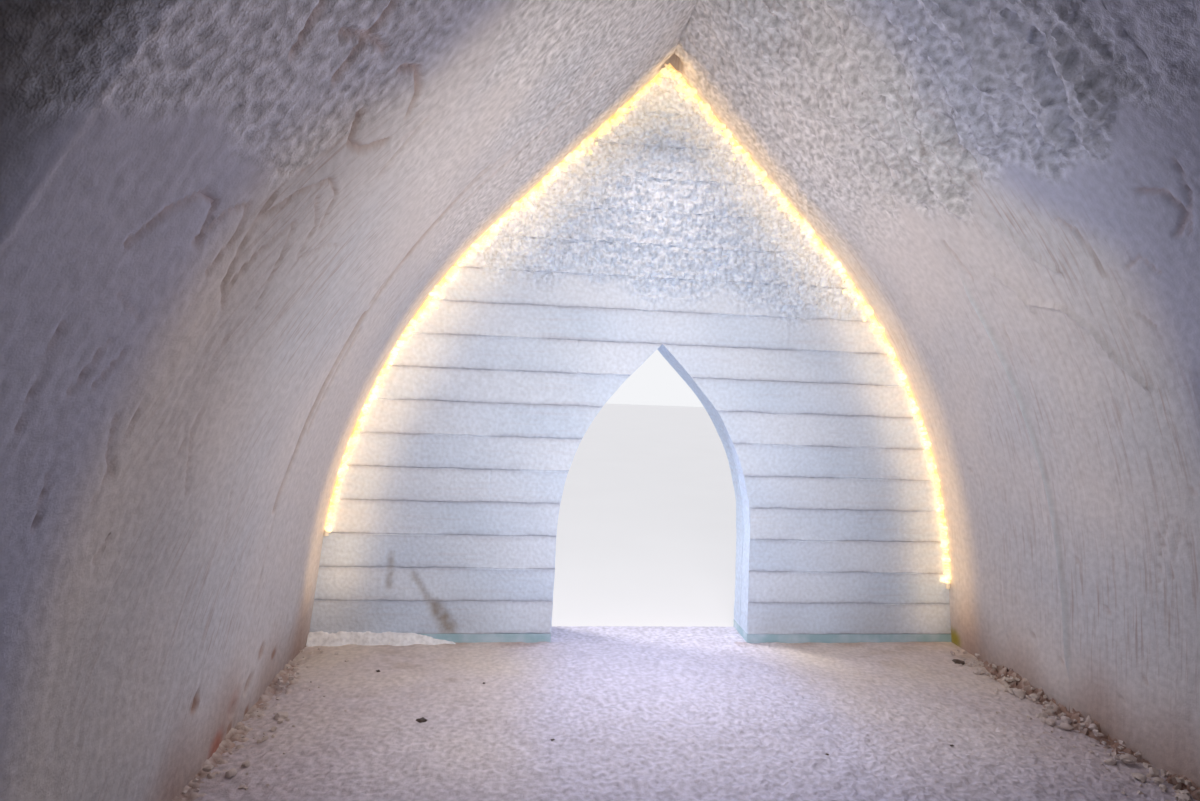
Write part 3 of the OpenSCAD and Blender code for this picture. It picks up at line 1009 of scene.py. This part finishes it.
def bank(side, sign):
    """A lumpy strip of crumbled snow along one foot of the vault: pitted on the right, low and worn on the left."""
    foot = BANK_FOOT + 0.03
    bulk, pitted = (0.62, 1.0) if side == "right" else (0.34, 0.4)
    strips = []
    for y0, y1, cell in ((FINE_FROM, WALL_FACE - CLEARANCE, 0.0125), (-WALL_FACE + CLEARANCE, FINE_FROM, 0.04)):
        strip = slab("strip", foot - BANK_W - 0.06, foot, y0, y1, LOW_RIM, cell)
        x, y, z = places(strip).T
        out = (BANK_FOOT - x) / BANK_W
        swing = 0.72 + 0.14 * np.sin(y * 4.1 + sign) + 0.10 * np.sin(y * 9.7) + 0.06 * np.sin(y * 23)
        swing *= 0.25 + 0.75 * smooth(WALL_FACE - y, 0.05, 0.6)
        height = np.clip(1 - out, 0, 1.2) ** 1.4 * swing
        upper = z > UPPER_FROM
        relief(strip, BANK_H * bulk * 1.3, group=weigh(strip, "rise", upper * np.clip(height, 0, 1)), along="Z")
        before = places(strip)[:, 2]
        loose = upper * smooth(height, 0.03, 0.22) * pitted
        relief(strip, 0.115, PITS, weigh(strip, "loose", loose), middle=0.62, along="Z")
        relief(strip, 0.06, PITS, "loose", along="X")
        relief(strip, 0.022, CRUST, "loose", along="Z")
        sunk = before - places(strip)[:, 2]
        # soil on the bank, and painted shade in the pits: the deeper they sank, the darker
        paint(strip, "soil_and_painted_shade", upper * (0.25 * smooth(height, 0.02, 0.3) + smooth(sunk, 0.004, 0.035) * 0.8))
        paint(strip, "rough", upper * 0.35)
        strips.append(strip)
    made = join(f"{side}_bank_of_crumbs", strips)
    if sign < 0:
        to_left(made)
        on_all(made, bpy.ops.mesh.normals_make_consistent, inside=False)
    return made


def bank_lift(out):
    """How high a crumb lies on the bank at this distance from the vault's foot."""
    return BANK_H * 0.4 * max(0.0, 1 - out / BANK_W) ** 1.4

# %% A few crumb shapes
def crumb_shape(name, size, cuts, luck, roundness=0.35):
    """An uneven broken lump about size metres across, with a few dozen faces."""
    clear_selection()
    bpy.ops.mesh.primitive_cube_add(size=size, location=(0, 0, 0))
    crumb = bpy.context.object
    crumb.name = name
    on_all(crumb, bpy.ops.mesh.subdivide, number_cuts=cuts)
    on_all(crumb, bpy.ops.transform.tosphere, value=roundness)
    for axis in "XYZ":
        lumpy = noise(f"{name}_{axis}", size * luck.uniform(0.4, 0.7), octaves=1)
        lumpy.noise_basis = luck.choice(["ORIGINAL_PERLIN", "IMPROVED_PERLIN", "BLENDER_ORIGINAL"])
        relief(crumb, size * 0.75, lumpy, along=axis)
    return crumb


def scatter(name, shapes, spots, luck):
    """Copies of the shapes, each turned and scaled in its own mesh, at the given (x, y, z, scale)."""
    copies = []
    for x, y, z, scale in spots:
        copy = luck.choice(shapes).copy()
        copy.data = copy.data.copy()
        bpy.context.scene.collection.objects.link(copy)
        turn = Matrix.Rotation(luck.uniform(0, 2 * pi), 4, (luck.uniform(-1, 1), luck.uniform(-1, 1), 1))
        stretch = Matrix.Diagonal((luck.uniform(0.7, 1.3), luck.uniform(0.7, 1.2), luck.uniform(0.55, 0.95), 1))
        copy.data.transform(Matrix.Translation((x, y, z)) @ Matrix.Scale(scale, 4) @ stretch @ turn)
        copies.append(copy)
    return join(name, copies)


def forget(shapes):
    """Removes the shapes that the copies were made from."""
    for shape in shapes:
        bpy.data.objects.remove(shape)


# %% Crumbs and clods on both banks
luck = random.Random(5)
crumbs = [crumb_shape(f"crumb_{n}", 0.03, 1, luck) for n in range(4)]
clods = [crumb_shape(f"clod_{n}", 0.055, 2, luck, 0.65) for n in range(6)]
for side, sign, crumb_count, clod_count in (("left", -1, 80, 8), ("right", 1, 190, 54)):
    strip = bank(side, sign)
    spots = []
    for _ in range(crumb_count):
        out = min(0.02 + abs(luck.gauss(0.0, 0.16)), 0.6)
        y = luck.uniform(1.8, 3.8) if luck.random() < 0.7 else luck.uniform(-3.9, 1.8)
        size = luck.uniform(0.2, 0.75) * (1 - 0.9 * out)
        spots.append((sign * (BANK_FOOT - 0.02 - out), y, FLOOR + bank_lift(out), size))
    loose = scatter("loose_crumbs", crumbs, spots, luck)
    paint(loose, "soil_and_painted_shade", np.full(len(loose.data.vertices), 0.25))
    spots = []
    for _ in range(clod_count):
        out = luck.uniform(0.02, 0.17)
        y = luck.uniform(1.8, 3.5) if luck.random() < 0.75 else luck.uniform(-3.8, 1.8)
        x = sign * (BANK_FOOT - 0.03 - out)
        spots.append((x, y, FLOOR + bank_lift(out) - 0.006, luck.uniform(0.35, 0.9)))
    heap = scatter("clods", clods, spots, luck)
    paint(heap, "soil_and_painted_shade", np.full(len(heap.data.vertices), 0.22))
    made = join(f"{side}_bank_of_crumbs", [strip, loose, heap])
    shade(made, 42)
    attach(made, "root")
    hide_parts(f"{side}_snow_bank")
    print(made.name, "triangles:", triangles(made))
forget(crumbs + clods)

# %% [markdown]
# ## Small things at the foot of the end wall
# A lip of clean snow is banked against the wall's left corner, where the sweepings end up. A few dark chips of bark
# lie trodden into the floor.

# %% Snow lip
lip = slab("swept_snow_lip", -2.145, -1.10, WALL_FACE - 0.13, WALL_FACE - CLEARANCE, LOW_RIM, 0.011)
x, y, z = places(lip).T
reach = 1 - smooth(x, -1.6, -1.12)
depth = 0.065 + 0.015 * np.sin(x * 11) + 0.015 * np.sin(x * 31)
profile = smooth(y, WALL_FACE - depth, WALL_FACE - 0.015) ** 1.4 * (z > UPPER_FROM) * reach
relief(lip, 0.080, group=weigh(lip, "rise", profile), along="Z")
relief(lip, 0.030, CLUMPS, weigh(lip, "soft", np.sqrt(profile)), along="Z")
relief(lip, 0.014, CRUST, "soft", along="Z")
paint(lip, "rough", np.full(len(x), 0.2))
paint(lip, "fresh", np.ones(len(x)))
shade(lip, 50)
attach(lip, "root")

# %% Bark chips
luck = random.Random(19)
chips = [crumb_shape(f"chip_{n}", 0.03, 1, luck, 0.1) for n in range(3)]
# x and y of each chip, and its size
chip_spots = [(1.97, 3.62, 1.7), (-1.30, 2.93, 1.0), (-1.63, 3.52, 0.6), (-1.02, 3.35, 0.45), (-0.66, 2.72, 0.4),
              (1.28, 2.61, 0.45), (0.62, 2.55, 0.35), (-0.95, -1.9, 0.9), (0.8, -2.9, 1.1)]
chips_on_floor = scatter("bark_chips", chips, [(x, y, FLOOR + 0.006, size) for x, y, size in chip_spots], luck)
trodden_flat = Matrix.Diagonal((1, 1, 0.5, 1))
chips_on_floor.data.transform(Matrix.Translation((0, 0, FLOOR)) @ trodden_flat @ Matrix.Translation((0, 0, -FLOOR)))
forget(chips)
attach(chips_on_floor, "root")

# %% [markdown]
# ## Light rope
# A rope of warm lamps runs in the corner between the vault and the end wall, frozen in behind a skin of frost. The CAD
# tube is already right, so it stays. Frosted beads are added along it where each small lamp shines through; they glow
# with painted light.

# %% Where the rope runs
ROPE_IN = 0.0153
ROPE_Y = WALL_FACE - ROPE_IN
FROSTED_FROM = 2.2


def along_arch(arch, s):
    """The point (x, z) at a distance s up the arch from the ground."""
    if s < arch.leg_length:
        return arch.foot - s * sin(arch.lean), s * cos(arch.lean)
    if s < arch.leg_length + arch.haunch_length:
        angle = arch.lean + (s - arch.leg_length) / arch.radius
        return arch.centre[0] + arch.radius * cos(angle), arch.centre[1] + arch.radius * sin(angle)
    rest = s - arch.leg_length - arch.haunch_length
    return arch.end[0] - rest * sin(arch.slope), arch.end[1] + rest * cos(arch.slope)


rope_arch = widened(INNER, -ROPE_IN)
ROPE_TOP = rope_arch.leg_length + rope_arch.haunch_length + rope_arch.crown_length
print("rope runs to", round(ROPE_TOP, 3), "m on each side")

# %% Frosted beads
def bead_row(name, luck):
    """Lumps of frost round the rope, with the rope's light painted on them as glow; the farther off the rope, the
    smaller.
    """
    bead = crumb_shape("bead", 0.026, 1, luck, 0.9)
    spots = []
    for side, sign in (("left", -1), ("right", 1)):
        s = ROPE_STARTS[side] + 0.03
        while s < ROPE_TOP - 0.02:
            # under the ridge the hoar is thick, and the beads with the painted glow spread wider
            spread, largest = (0.010, 1.5) if s < FROSTED_FROM else (0.024, 2.1)
            off = abs(luck.gauss(0.0, spread))
            x, z = along_arch(widened(INNER, -ROPE_IN - off), s)
            size = luck.uniform(0.6, largest) * (1 - 7 * min(off, 0.09))
            spots.append((sign * x, ROPE_Y - 0.010 + 0.25 * off, z, size))
            s += luck.uniform(0.010, 0.034)
    row = scatter(name, [bead], spots, luck)
    forget([bead])
    activate(row)
    bpy.ops.object.shade_smooth()
    return row


ROPE_BEADS = {}
for end in ("entrance", "rear"):
    row = bead_row(f"{end}_frosted_lamp_beads", random.Random(7))
    if end == "rear":
        turned_to_rear(row)
    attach(row, "root")
    ROPE_BEADS[end] = row
    print(row.name, "triangles:", triangles(row))

# %% [markdown]
# ## Materials
# Snow is white, but never one white: clean snow is a little blue, old snow that people touch goes grey and warm, and
# packed ice shows green. Each snow below mixes such tints in patches of a real size, and has a grain of its own.

# %% Colour and node helpers
def colour(code):
    """An sRGB hex code as linear red, green, blue and alpha."""
    parts = [int(code[i:i + 2], 16) / 255 for i in (1, 3, 5)]
    return [p / 12.92 if p <= 0.04045 else ((p + 0.055) / 1.055) ** 2.4 for p in parts] + [1.0]


def add(tree, kind, settings):
    """Adds a node; a setting is a link if it is a socket, a property if the node has it, and otherwise a value."""
    made = tree.nodes.new("ShaderNode" + kind)
    for key, value in settings.items():
        if isinstance(value, bpy.types.NodeSocket):
            tree.links.new(value, made.inputs[key])
        elif isinstance(key, str) and hasattr(made, key):
            setattr(made, key, value)
        else:
            made.inputs[key].default_value = value
    return made


def new_material(name):
    """An empty node material, its tree, and the place on the piece that its textures read."""
    material = bpy.data.materials.new(name)
    material.use_nodes = True
    tree = material.node_tree
    tree.nodes.clear()
    return material, tree, add(tree, "TexCoord", {}).outputs["Object"]


def clouds(tree, space, scale, detail):
    return add(tree, "TexNoise", {"Scale": scale, "Detail": detail, "Vector": space}).outputs["Fac"]


def ranged(tree, value, low, high, to_low=0.0, to_high=1.0):
    """Stretches one range of a value to another and keeps it inside."""
    settings = {"Value": value, "From Min": low, "From Max": high, "To Min": to_low, "To Max": to_high}
    return add(tree, "MapRange", settings).outputs["Result"]


def math_node(tree, operation, *values):
    """One Math node over sockets and numbers."""
    return add(tree, "Math", {"operation": operation, **dict(enumerate(values))}).outputs[0]


def blend(tree, share, under, over):
    """Mixes two tints by a share from 0 to 1; a tint is a hex code or a socket."""
    tints = {slot: colour(tint) if isinstance(tint, str) else tint for slot, tint in ((6, under), (7, over))}
    return add(tree, "Mix", {"data_type": "RGBA", 0: share, **tints}).outputs[2]


def painted(tree, name):
    """A number that was painted on the piece."""
    return add(tree, "Attribute", {"attribute_name": name}).outputs["Fac"]


def surface(tree, **settings):
    """The final shader; an underscore stands for a space in an input's name."""
    shader = add(tree, "BsdfPrincipled", {key.replace("_", " "): value for key, value in settings.items()})
    add(tree, "OutputMaterial", {"Surface": shader.outputs[0]})


def per_metre(millimetres):
    """A noise scale whose grains are about this many millimetres across."""
    return 1000 / millimetres

# %% Snow
def snow(name, tints, patch_mm, grain_mm, stroke_mm, lean, touched_share, rough_depth, marked, painted_rope_glow=0.0):
    """Packed snow: two tints in broad patches, a third where it was touched, and grains that catch the light.

    marked pairs the name of a painted attribute with the tint that it brings."""
    material, tree, space = new_material(name)
    clean, shaded, touched = tints
    # broad patches, as the mould boards and the passing air leave them
    share = ranged(tree, clouds(tree, space, per_metre(patch_mm), 1.0), 0.35, 0.65)
    finish = blend(tree, share, clean, shaded)
    # strokes of a trowel, a saw or a sleeve, long one way and thin the other
    turned = add(tree, "Mapping", {"vector_type": "TEXTURE", "Rotation": (radians(lean), 0, 0),
                                   "Scale": [mm / 1000 for mm in stroke_mm], "Vector": space}).outputs[0]
    smudged = ranged(tree, clouds(tree, turned, 1.0, 2.0), 0.52, 0.72, 0.0, touched_share)
    finish = blend(tree, math_node(tree, "MULTIPLY", smudged, share), finish, touched)
    for attribute, tint in marked:
        finish = blend(tree, painted(tree, attribute), finish, tint)
    # grains, each a little lighter or darker, and more so where the surface is marked rough; the colour is also
    # darkened in the bump's pits, a painted shade
    rough = painted(tree, "rough")
    grains = add(tree, "TexNoise", {"Scale": per_metre(grain_mm), "Detail": 1.0, "Roughness": 0.75,
                                    "Vector": space}).outputs["Fac"]
    pits = clouds(tree, space, per_metre(grain_mm * 3.2), 0.0)
    height = math_node(tree, "MULTIPLY_ADD", pits, 2.2, grains)
    contrast, strength = ranged(tree, rough, 0, 1, 0.10, 0.42), ranged(tree, rough, 0, 1, 0.3, rough_depth)
    swing = math_node(tree, "MULTIPLY_ADD", math_node(tree, "SUBTRACT", height, 1.6), contrast, 0.97)
    grain_tone_and_pit_shade = add(tree, "VectorMath", {"operation": "SCALE", 0: finish, "Scale": swing}).outputs["Vector"]
    bump = add(tree, "Bump", {"Distance": 0.005, "Height": height, "Strength": strength})
    settings = {"IOR": 1.31, "Specular_IOR_Level": 0.0, "Base_Color": grain_tone_and_pit_shade, "Normal": bump.outputs["Normal"],
                "Roughness": ranged(tree, grains, 0.62, 0.72, 0.85, 0.45)}
    if painted_rope_glow:
        # painted glow: the rope's light, as if carried inside the snow, painted on as emission
        settings["Emission_Strength"] = math_node(tree, "MULTIPLY", painted(tree, "painted_rope_glow"), painted_rope_glow)
        settings["Emission_Color"] = colour("#FFBE6E")
        material.cycles.emission_sampling = "NONE"
    surface(tree, **settings)
    return material


def wear(piece, material):
    piece.data.materials.clear()
    piece.data.materials.append(material)


# the blue-grey after the three cast tints is a painted shade for the middle of the hall; the last tint is the brown of
# soil and of painted shade in grooves, pits and the vent
CAST_TINTS, HALL_SHADE_TINT, FRESH, SOIL_AND_SHADE_TINT = ("#DBD5D5", "#CDCDD3", "#B5A8A8"), "#A9AFCB", "#E3E8EF", "#A88C80"
BAY_SNOW = {}
for side, stroke_mm, lean, stain in (("left", (150, 14, 240), -22, "#B4705E"), ("right", (150, 14, 280), 4, "#A39A3E")):
    marked = [("painted_hall_shade", HALL_SHADE_TINT), ("fresh", FRESH), ("soil_and_painted_shade", SOIL_AND_SHADE_TINT), ("stained", stain)]
    BAY_SNOW[side] = snow(f"cast_snow_{side}", CAST_TINTS, patch_mm=900, grain_mm=9, stroke_mm=stroke_mm, lean=lean,
                          touched_share=0.8, rough_depth=1.0, marked=marked, painted_rope_glow=1.0)
# on the blocks, the grey of the joints includes painted shade where their edges round off
WALL_SNOW = snow("sawn_snow_blocks", ("#D9E7FB", "#D0DFF3", "#C9CFDF"), patch_mm=700, grain_mm=7,
                 stroke_mm=(420, 100, 22), lean=0, touched_share=0.5, rough_depth=0.9,
                 marked=[("fresh", "#F4F6FB"), ("joint", "#9C9FB0"), ("soil_and_painted_shade", "#A29C97")], painted_rope_glow=1.0)
# on the floor, the lilac blue-grey is a painted shade for the middle of the hall
FLOOR_SNOW = snow("trodden_snow", ("#DED3CA", "#D6CCCC", "#C0B2AA"), patch_mm=500, grain_mm=8,
                  stroke_mm=(190, 130, 100), lean=0, touched_share=0.7, rough_depth=0.9,
                  marked=[("path", "#D9D7EA"), ("painted_hall_shade", "#A6A6C2"), ("soil_and_painted_shade", "#A48A80")])
for (number, side), bay in SNOW_BAYS.items():
    wear(bay, BAY_SNOW[side])
for piece in bpy.data.objects:
    if "snow_blocks" in piece.name or piece.name == "swept_snow_lip":
        wear(piece, WALL_SNOW)
    if "trodden" in piece.name or "bank_of_crumbs" in piece.name:
        wear(piece, FLOOR_SNOW)

# %% Ice, rope and caps
def ice(name):
    """Clear footing ice: green where it is thick, milky where frost grew on it."""
    material, tree, space = new_material(name)
    cloud = clouds(tree, space, per_metre(120), 4.0)
    tint = blend(tree, ranged(tree, cloud, 0.4, 0.7), "#A4C4D0", "#C6D8E6")
    wave = add(tree, "Bump", {"Distance": 0.006, "Strength": 0.4, "Height": cloud})
    surface(tree, IOR=1.31, Roughness=0.25, Base_Color=tint, Normal=wave.outputs["Normal"])
    return material


def lit_plastic(name, core, skin, glow):
    """Milky PVC round small warm lamps: brightest at each lamp, dimmer between them."""
    material, tree, space = new_material(name)
    lamps = clouds(tree, space, per_metre(55), 1.0)
    tint = blend(tree, lamps, skin, core)
    # near the ridge the frost over the lamps is thicker
    up = add(tree, "SeparateXYZ", {0: space}).outputs["Z"]
    dimmed = ranged(tree, up, 2.7, 3.6, 1.0, 0.6)
    flicker = ranged(tree, lamps, 0.35, 0.65, glow * 0.75, glow * 1.25)
    power = math_node(tree, "MULTIPLY", flicker, dimmed)
    surface(tree, Roughness=0.4, Base_Color=tint, Emission_Color=tint, Emission_Strength=power)
    material.cycles.emission_sampling = "NONE"
    return material


def mottled(name, dark, pale, scale=per_metre(9), detail=3.0, roughness=0.5):
    """A plain finish that varies a little: frost on a cap, wet and dry bark, felt or paint."""
    material, tree, space = new_material(name)
    surface(tree, Roughness=roughness, Base_Color=blend(tree, clouds(tree, space, scale, detail), dark, pale))
    return material


wear(chips_on_floor, mottled("wet_bark", "#3A2F2C", "#5B4A42"))
KEPT_NODES = {"ice_strip": ice("footing_ice"), "light_rope": lit_plastic("lit_milky_pvc", "#FFE2A4", "#FFD080", 1.05),
              "rope_caps": mottled("white_rope_cap", "#E9E2D4", "#F6F2EA")}
for name in frame["nodes"]:
    for part, material in KEPT_NODES.items():
        if part in name:
            wear(bpy.data.objects[name], material)
# the frost beads glow with painted light, in the material of the lit rope
BEADS = lit_plastic("frost_beads_with_painted_glow", "#FFF0CC", "#FFDA9A", 1.0)
for row in ROPE_BEADS.values():
    wear(row, BEADS)

# %% [markdown]
# ## Floor of the studio and light
# A pale floor carries the building. The world gives soft daylight from all sides, and a weak sun shapes the outside.
# Inside, a wide lamp washes the end wall from the middle of the hall, a smaller one warms the left side, and weak
# ones stand under the ridge, in the doorway and low before the wall. The vault falls off into shade at the near end,
# where its snow is also painted darker and bluer.

# %% Studio floor
clear_selection()
bpy.ops.mesh.primitive_plane_add(size=120, location=(0, 0, -0.0005))
ground = bpy.context.object
ground.name = "studio_floor"
wear(ground, mottled("studio_floor_paint", "#EFEFF2", "#F3F3F6", 0.8, 2.0, 0.8))

# %% World
bpy.context.scene.view_settings.view_transform = "Standard"
world = bpy.data.worlds.new("soft_daylight")
bpy.context.scene.world = world
world.use_nodes = True
tree = world.node_tree
tree.nodes.clear()
rays = add(tree, "LightPath", {}).outputs
seen = math_node(tree, "MAXIMUM", rays["Is Camera Ray"], rays["Is Glossy Ray"])
seen = math_node(tree, "MAXIMUM", seen, rays["Is Transmission Ray"])
daylight = add(tree, "Background", {"Color": colour("#E2E9F5"), "Strength": 0.55})
backdrop = add(tree, "Background", {"Color": colour("#F4F5F8"), "Strength": 1.0})
both = add(tree, "MixShader", {0: seen, 1: daylight.outputs[0], 2: backdrop.outputs[0]})
add(tree, "OutputWorld", {"Surface": both.outputs[0]})

# %% Lamps


def lamp(name, kind, place_at, aim, power, tint, size, spread=180):
    """A lamp that no camera sees; the size of a sun is an angle."""
    clear_selection()
    bpy.ops.object.light_add(type=kind, location=place_at)
    made = bpy.context.object
    made.name = name
    made.rotation_euler = (Vector(aim) - Vector(place_at)).to_track_quat("-Z", "Y").to_euler()
    made.data.energy = power
    made.data.color = colour(tint)[:3]
    if kind == "AREA":
        made.data.shape = "DISK"
        made.data.size = size
        made.data.spread = radians(spread)
    else:
        made.data.angle = size
    made.visible_camera = False
    return made


# name, kind, where it stands, what it shines at, power, tint, size in metres, spread in degrees
lamp("sun", "SUN", (-6, 3, 9), (0, 0, 0), 1.7, "#FFF6EA", radians(12))
lamp("ridge_lamp", "AREA", (-0.04, 3.50, 3.40), (0.0, 3.84, 1.2), 2.8, "#FFE4CC", 0.36, 130)
lamp("wall_glow", "AREA", (0.0, 3.78, 2.0), (0.0, -0.5, 2.1), 9, "#FFF4EE", 2.0)
lamp("door_daylight", "AREA", (0.03, 4.22, 1.15), (0.0, 1.5, 0.0), 5.5, "#DCE4FF", 1.0, 140)
lamp("hall_wash", "AREA", (-0.2, 1.00, 1.90), (0.0, 3.97, 1.75), 26, "#FFFAF6", 1.5, 130)
lamp("left_wash", "AREA", (-0.40, 0.80, 1.90), (-1.6, 2.5, 1.95), 6.2, "#FFE8DA", 0.9)
lamp("low_wash", "AREA", (0.0, 2.65, 1.1), (0.0, 3.97, 0.9), 5, "#F6F6FF", 0.9, 150)

# %% [markdown]
# A closed hall of white snow throws light back and forth until no shadow is left. A photographer hangs a black flag
# behind the lights to stop that. The flag here stands across the hall, and two black cloths cover the floor and the
# foot of the right side between the flag and the picture. No camera sees them.

# %% Black flag
# the flag's place, its distance from the vault, and the heights of its foot and its first step
FLAG_Y = 0.65
FLAG_OFF = 0.08
FLAG_FOOT, FLAG_LOW, FLAG_STEP = 0.1, 0.3, 0.4


def black_cloth(name, at, size, turn):
    clear_selection()
    bpy.ops.mesh.primitive_plane_add(size=1, location=at, rotation=turn)
    made = bpy.context.object
    made.name = name
    place(made, size)
    return made


flag = black_cloth("black_flag", (0, FLAG_Y, 0.12), (2, 0.01, 1), (pi / 2, 0, 0))
rows = places(flag)
upper = rows[:, 2] > 0.12
rows[:, 2] = np.where(upper, FLAG_LOW, FLAG_FOOT)
reach = np.where(upper, half_width(INNER, FLAG_LOW), half_width(INNER, FLAG_FOOT)) - FLAG_OFF
rows[:, 0] = np.sign(rows[:, 0]) * reach
flag.data.vertices.foreach_set("co", rows.ravel())
levels = [FLAG_LOW + FLAG_STEP * n for n in range(10)]
for low, high in zip(levels, levels[1:]):
    edit_edges(flag)
    choose(flag, lambda a, b: min(a.z, b.z) > low - NEAR)
    bpy.ops.mesh.extrude_region_move(TRANSFORM_OT_translate={"value": (0, 0, high - low)})
    narrower = (half_width(INNER, high) - FLAG_OFF) / (half_width(INNER, low) - FLAG_OFF)
    bpy.ops.transform.resize(value=(narrower, 1, 1), center_override=(0, FLAG_Y, high))
    bpy.ops.object.mode_set(mode="OBJECT")
cloths = [flag, black_cloth("black_cloth", (0, 1.32, 0.14), (3.9, 1.34, 1), (0, 0, 0)),
          black_cloth("black_cloth", (1.80, 1.25, 1.02), (1.78, 1.2, 1), (0, radians(78.4), 0))]
FELT = mottled("black_felt", "#060606", "#0A0A0A")
for cloth in cloths:
    wear(cloth, FELT)
    cloth.visible_camera = False

# %% Glow of the rope
# how far the strip lamps stand off the vault and the wall, and how far up the arch they reach
GLOW_IN, GLOW_BEFORE_WALL = 0.17, 0.22
GLOW_TOP = 4.4


def strip_lamp(name, s0, s1, sign):
    """A narrow lamp that follows a stretch of the rope and shines into its corner."""
    inset = widened(INNER, -GLOW_IN)
    (x0, z0), (x1, z1) = along_arch(inset, s0), along_arch(inset, s1)
    length = hypot(x1 - x0, z1 - z0)
    run = Vector((sign * (x1 - x0), 0, z1 - z0)) / length
    outward = Vector((sign * (z1 - z0), 0, x0 - x1)) / length
    back = -(outward * 0.6 + Vector((0, 0.8, 0))).normalized()
    across = run.cross(back)
    made = lamp(name, "AREA", (0, 0, 0), (0, 0, 1), 0.66 * length, "#FFD28C", length)
    made.data.shape = "RECTANGLE"
    made.data.size, made.data.size_y = 0.05, length
    middle = Vector((sign * (x0 + x1) / 2, WALL_FACE - GLOW_BEFORE_WALL, (z0 + z1) / 2))
    made.matrix_world = Matrix.Translation(middle) @ Matrix((across, run, back)).transposed().to_4x4()


for sign, start in ((-1, 0.35), (1, 0.20)):
    stops = [start + (GLOW_TOP - start) * n / 4 for n in range(5)]
    for s0, s1 in zip(stops, stops[1:]):
        strip_lamp("rope_glow", s0, s1, sign)
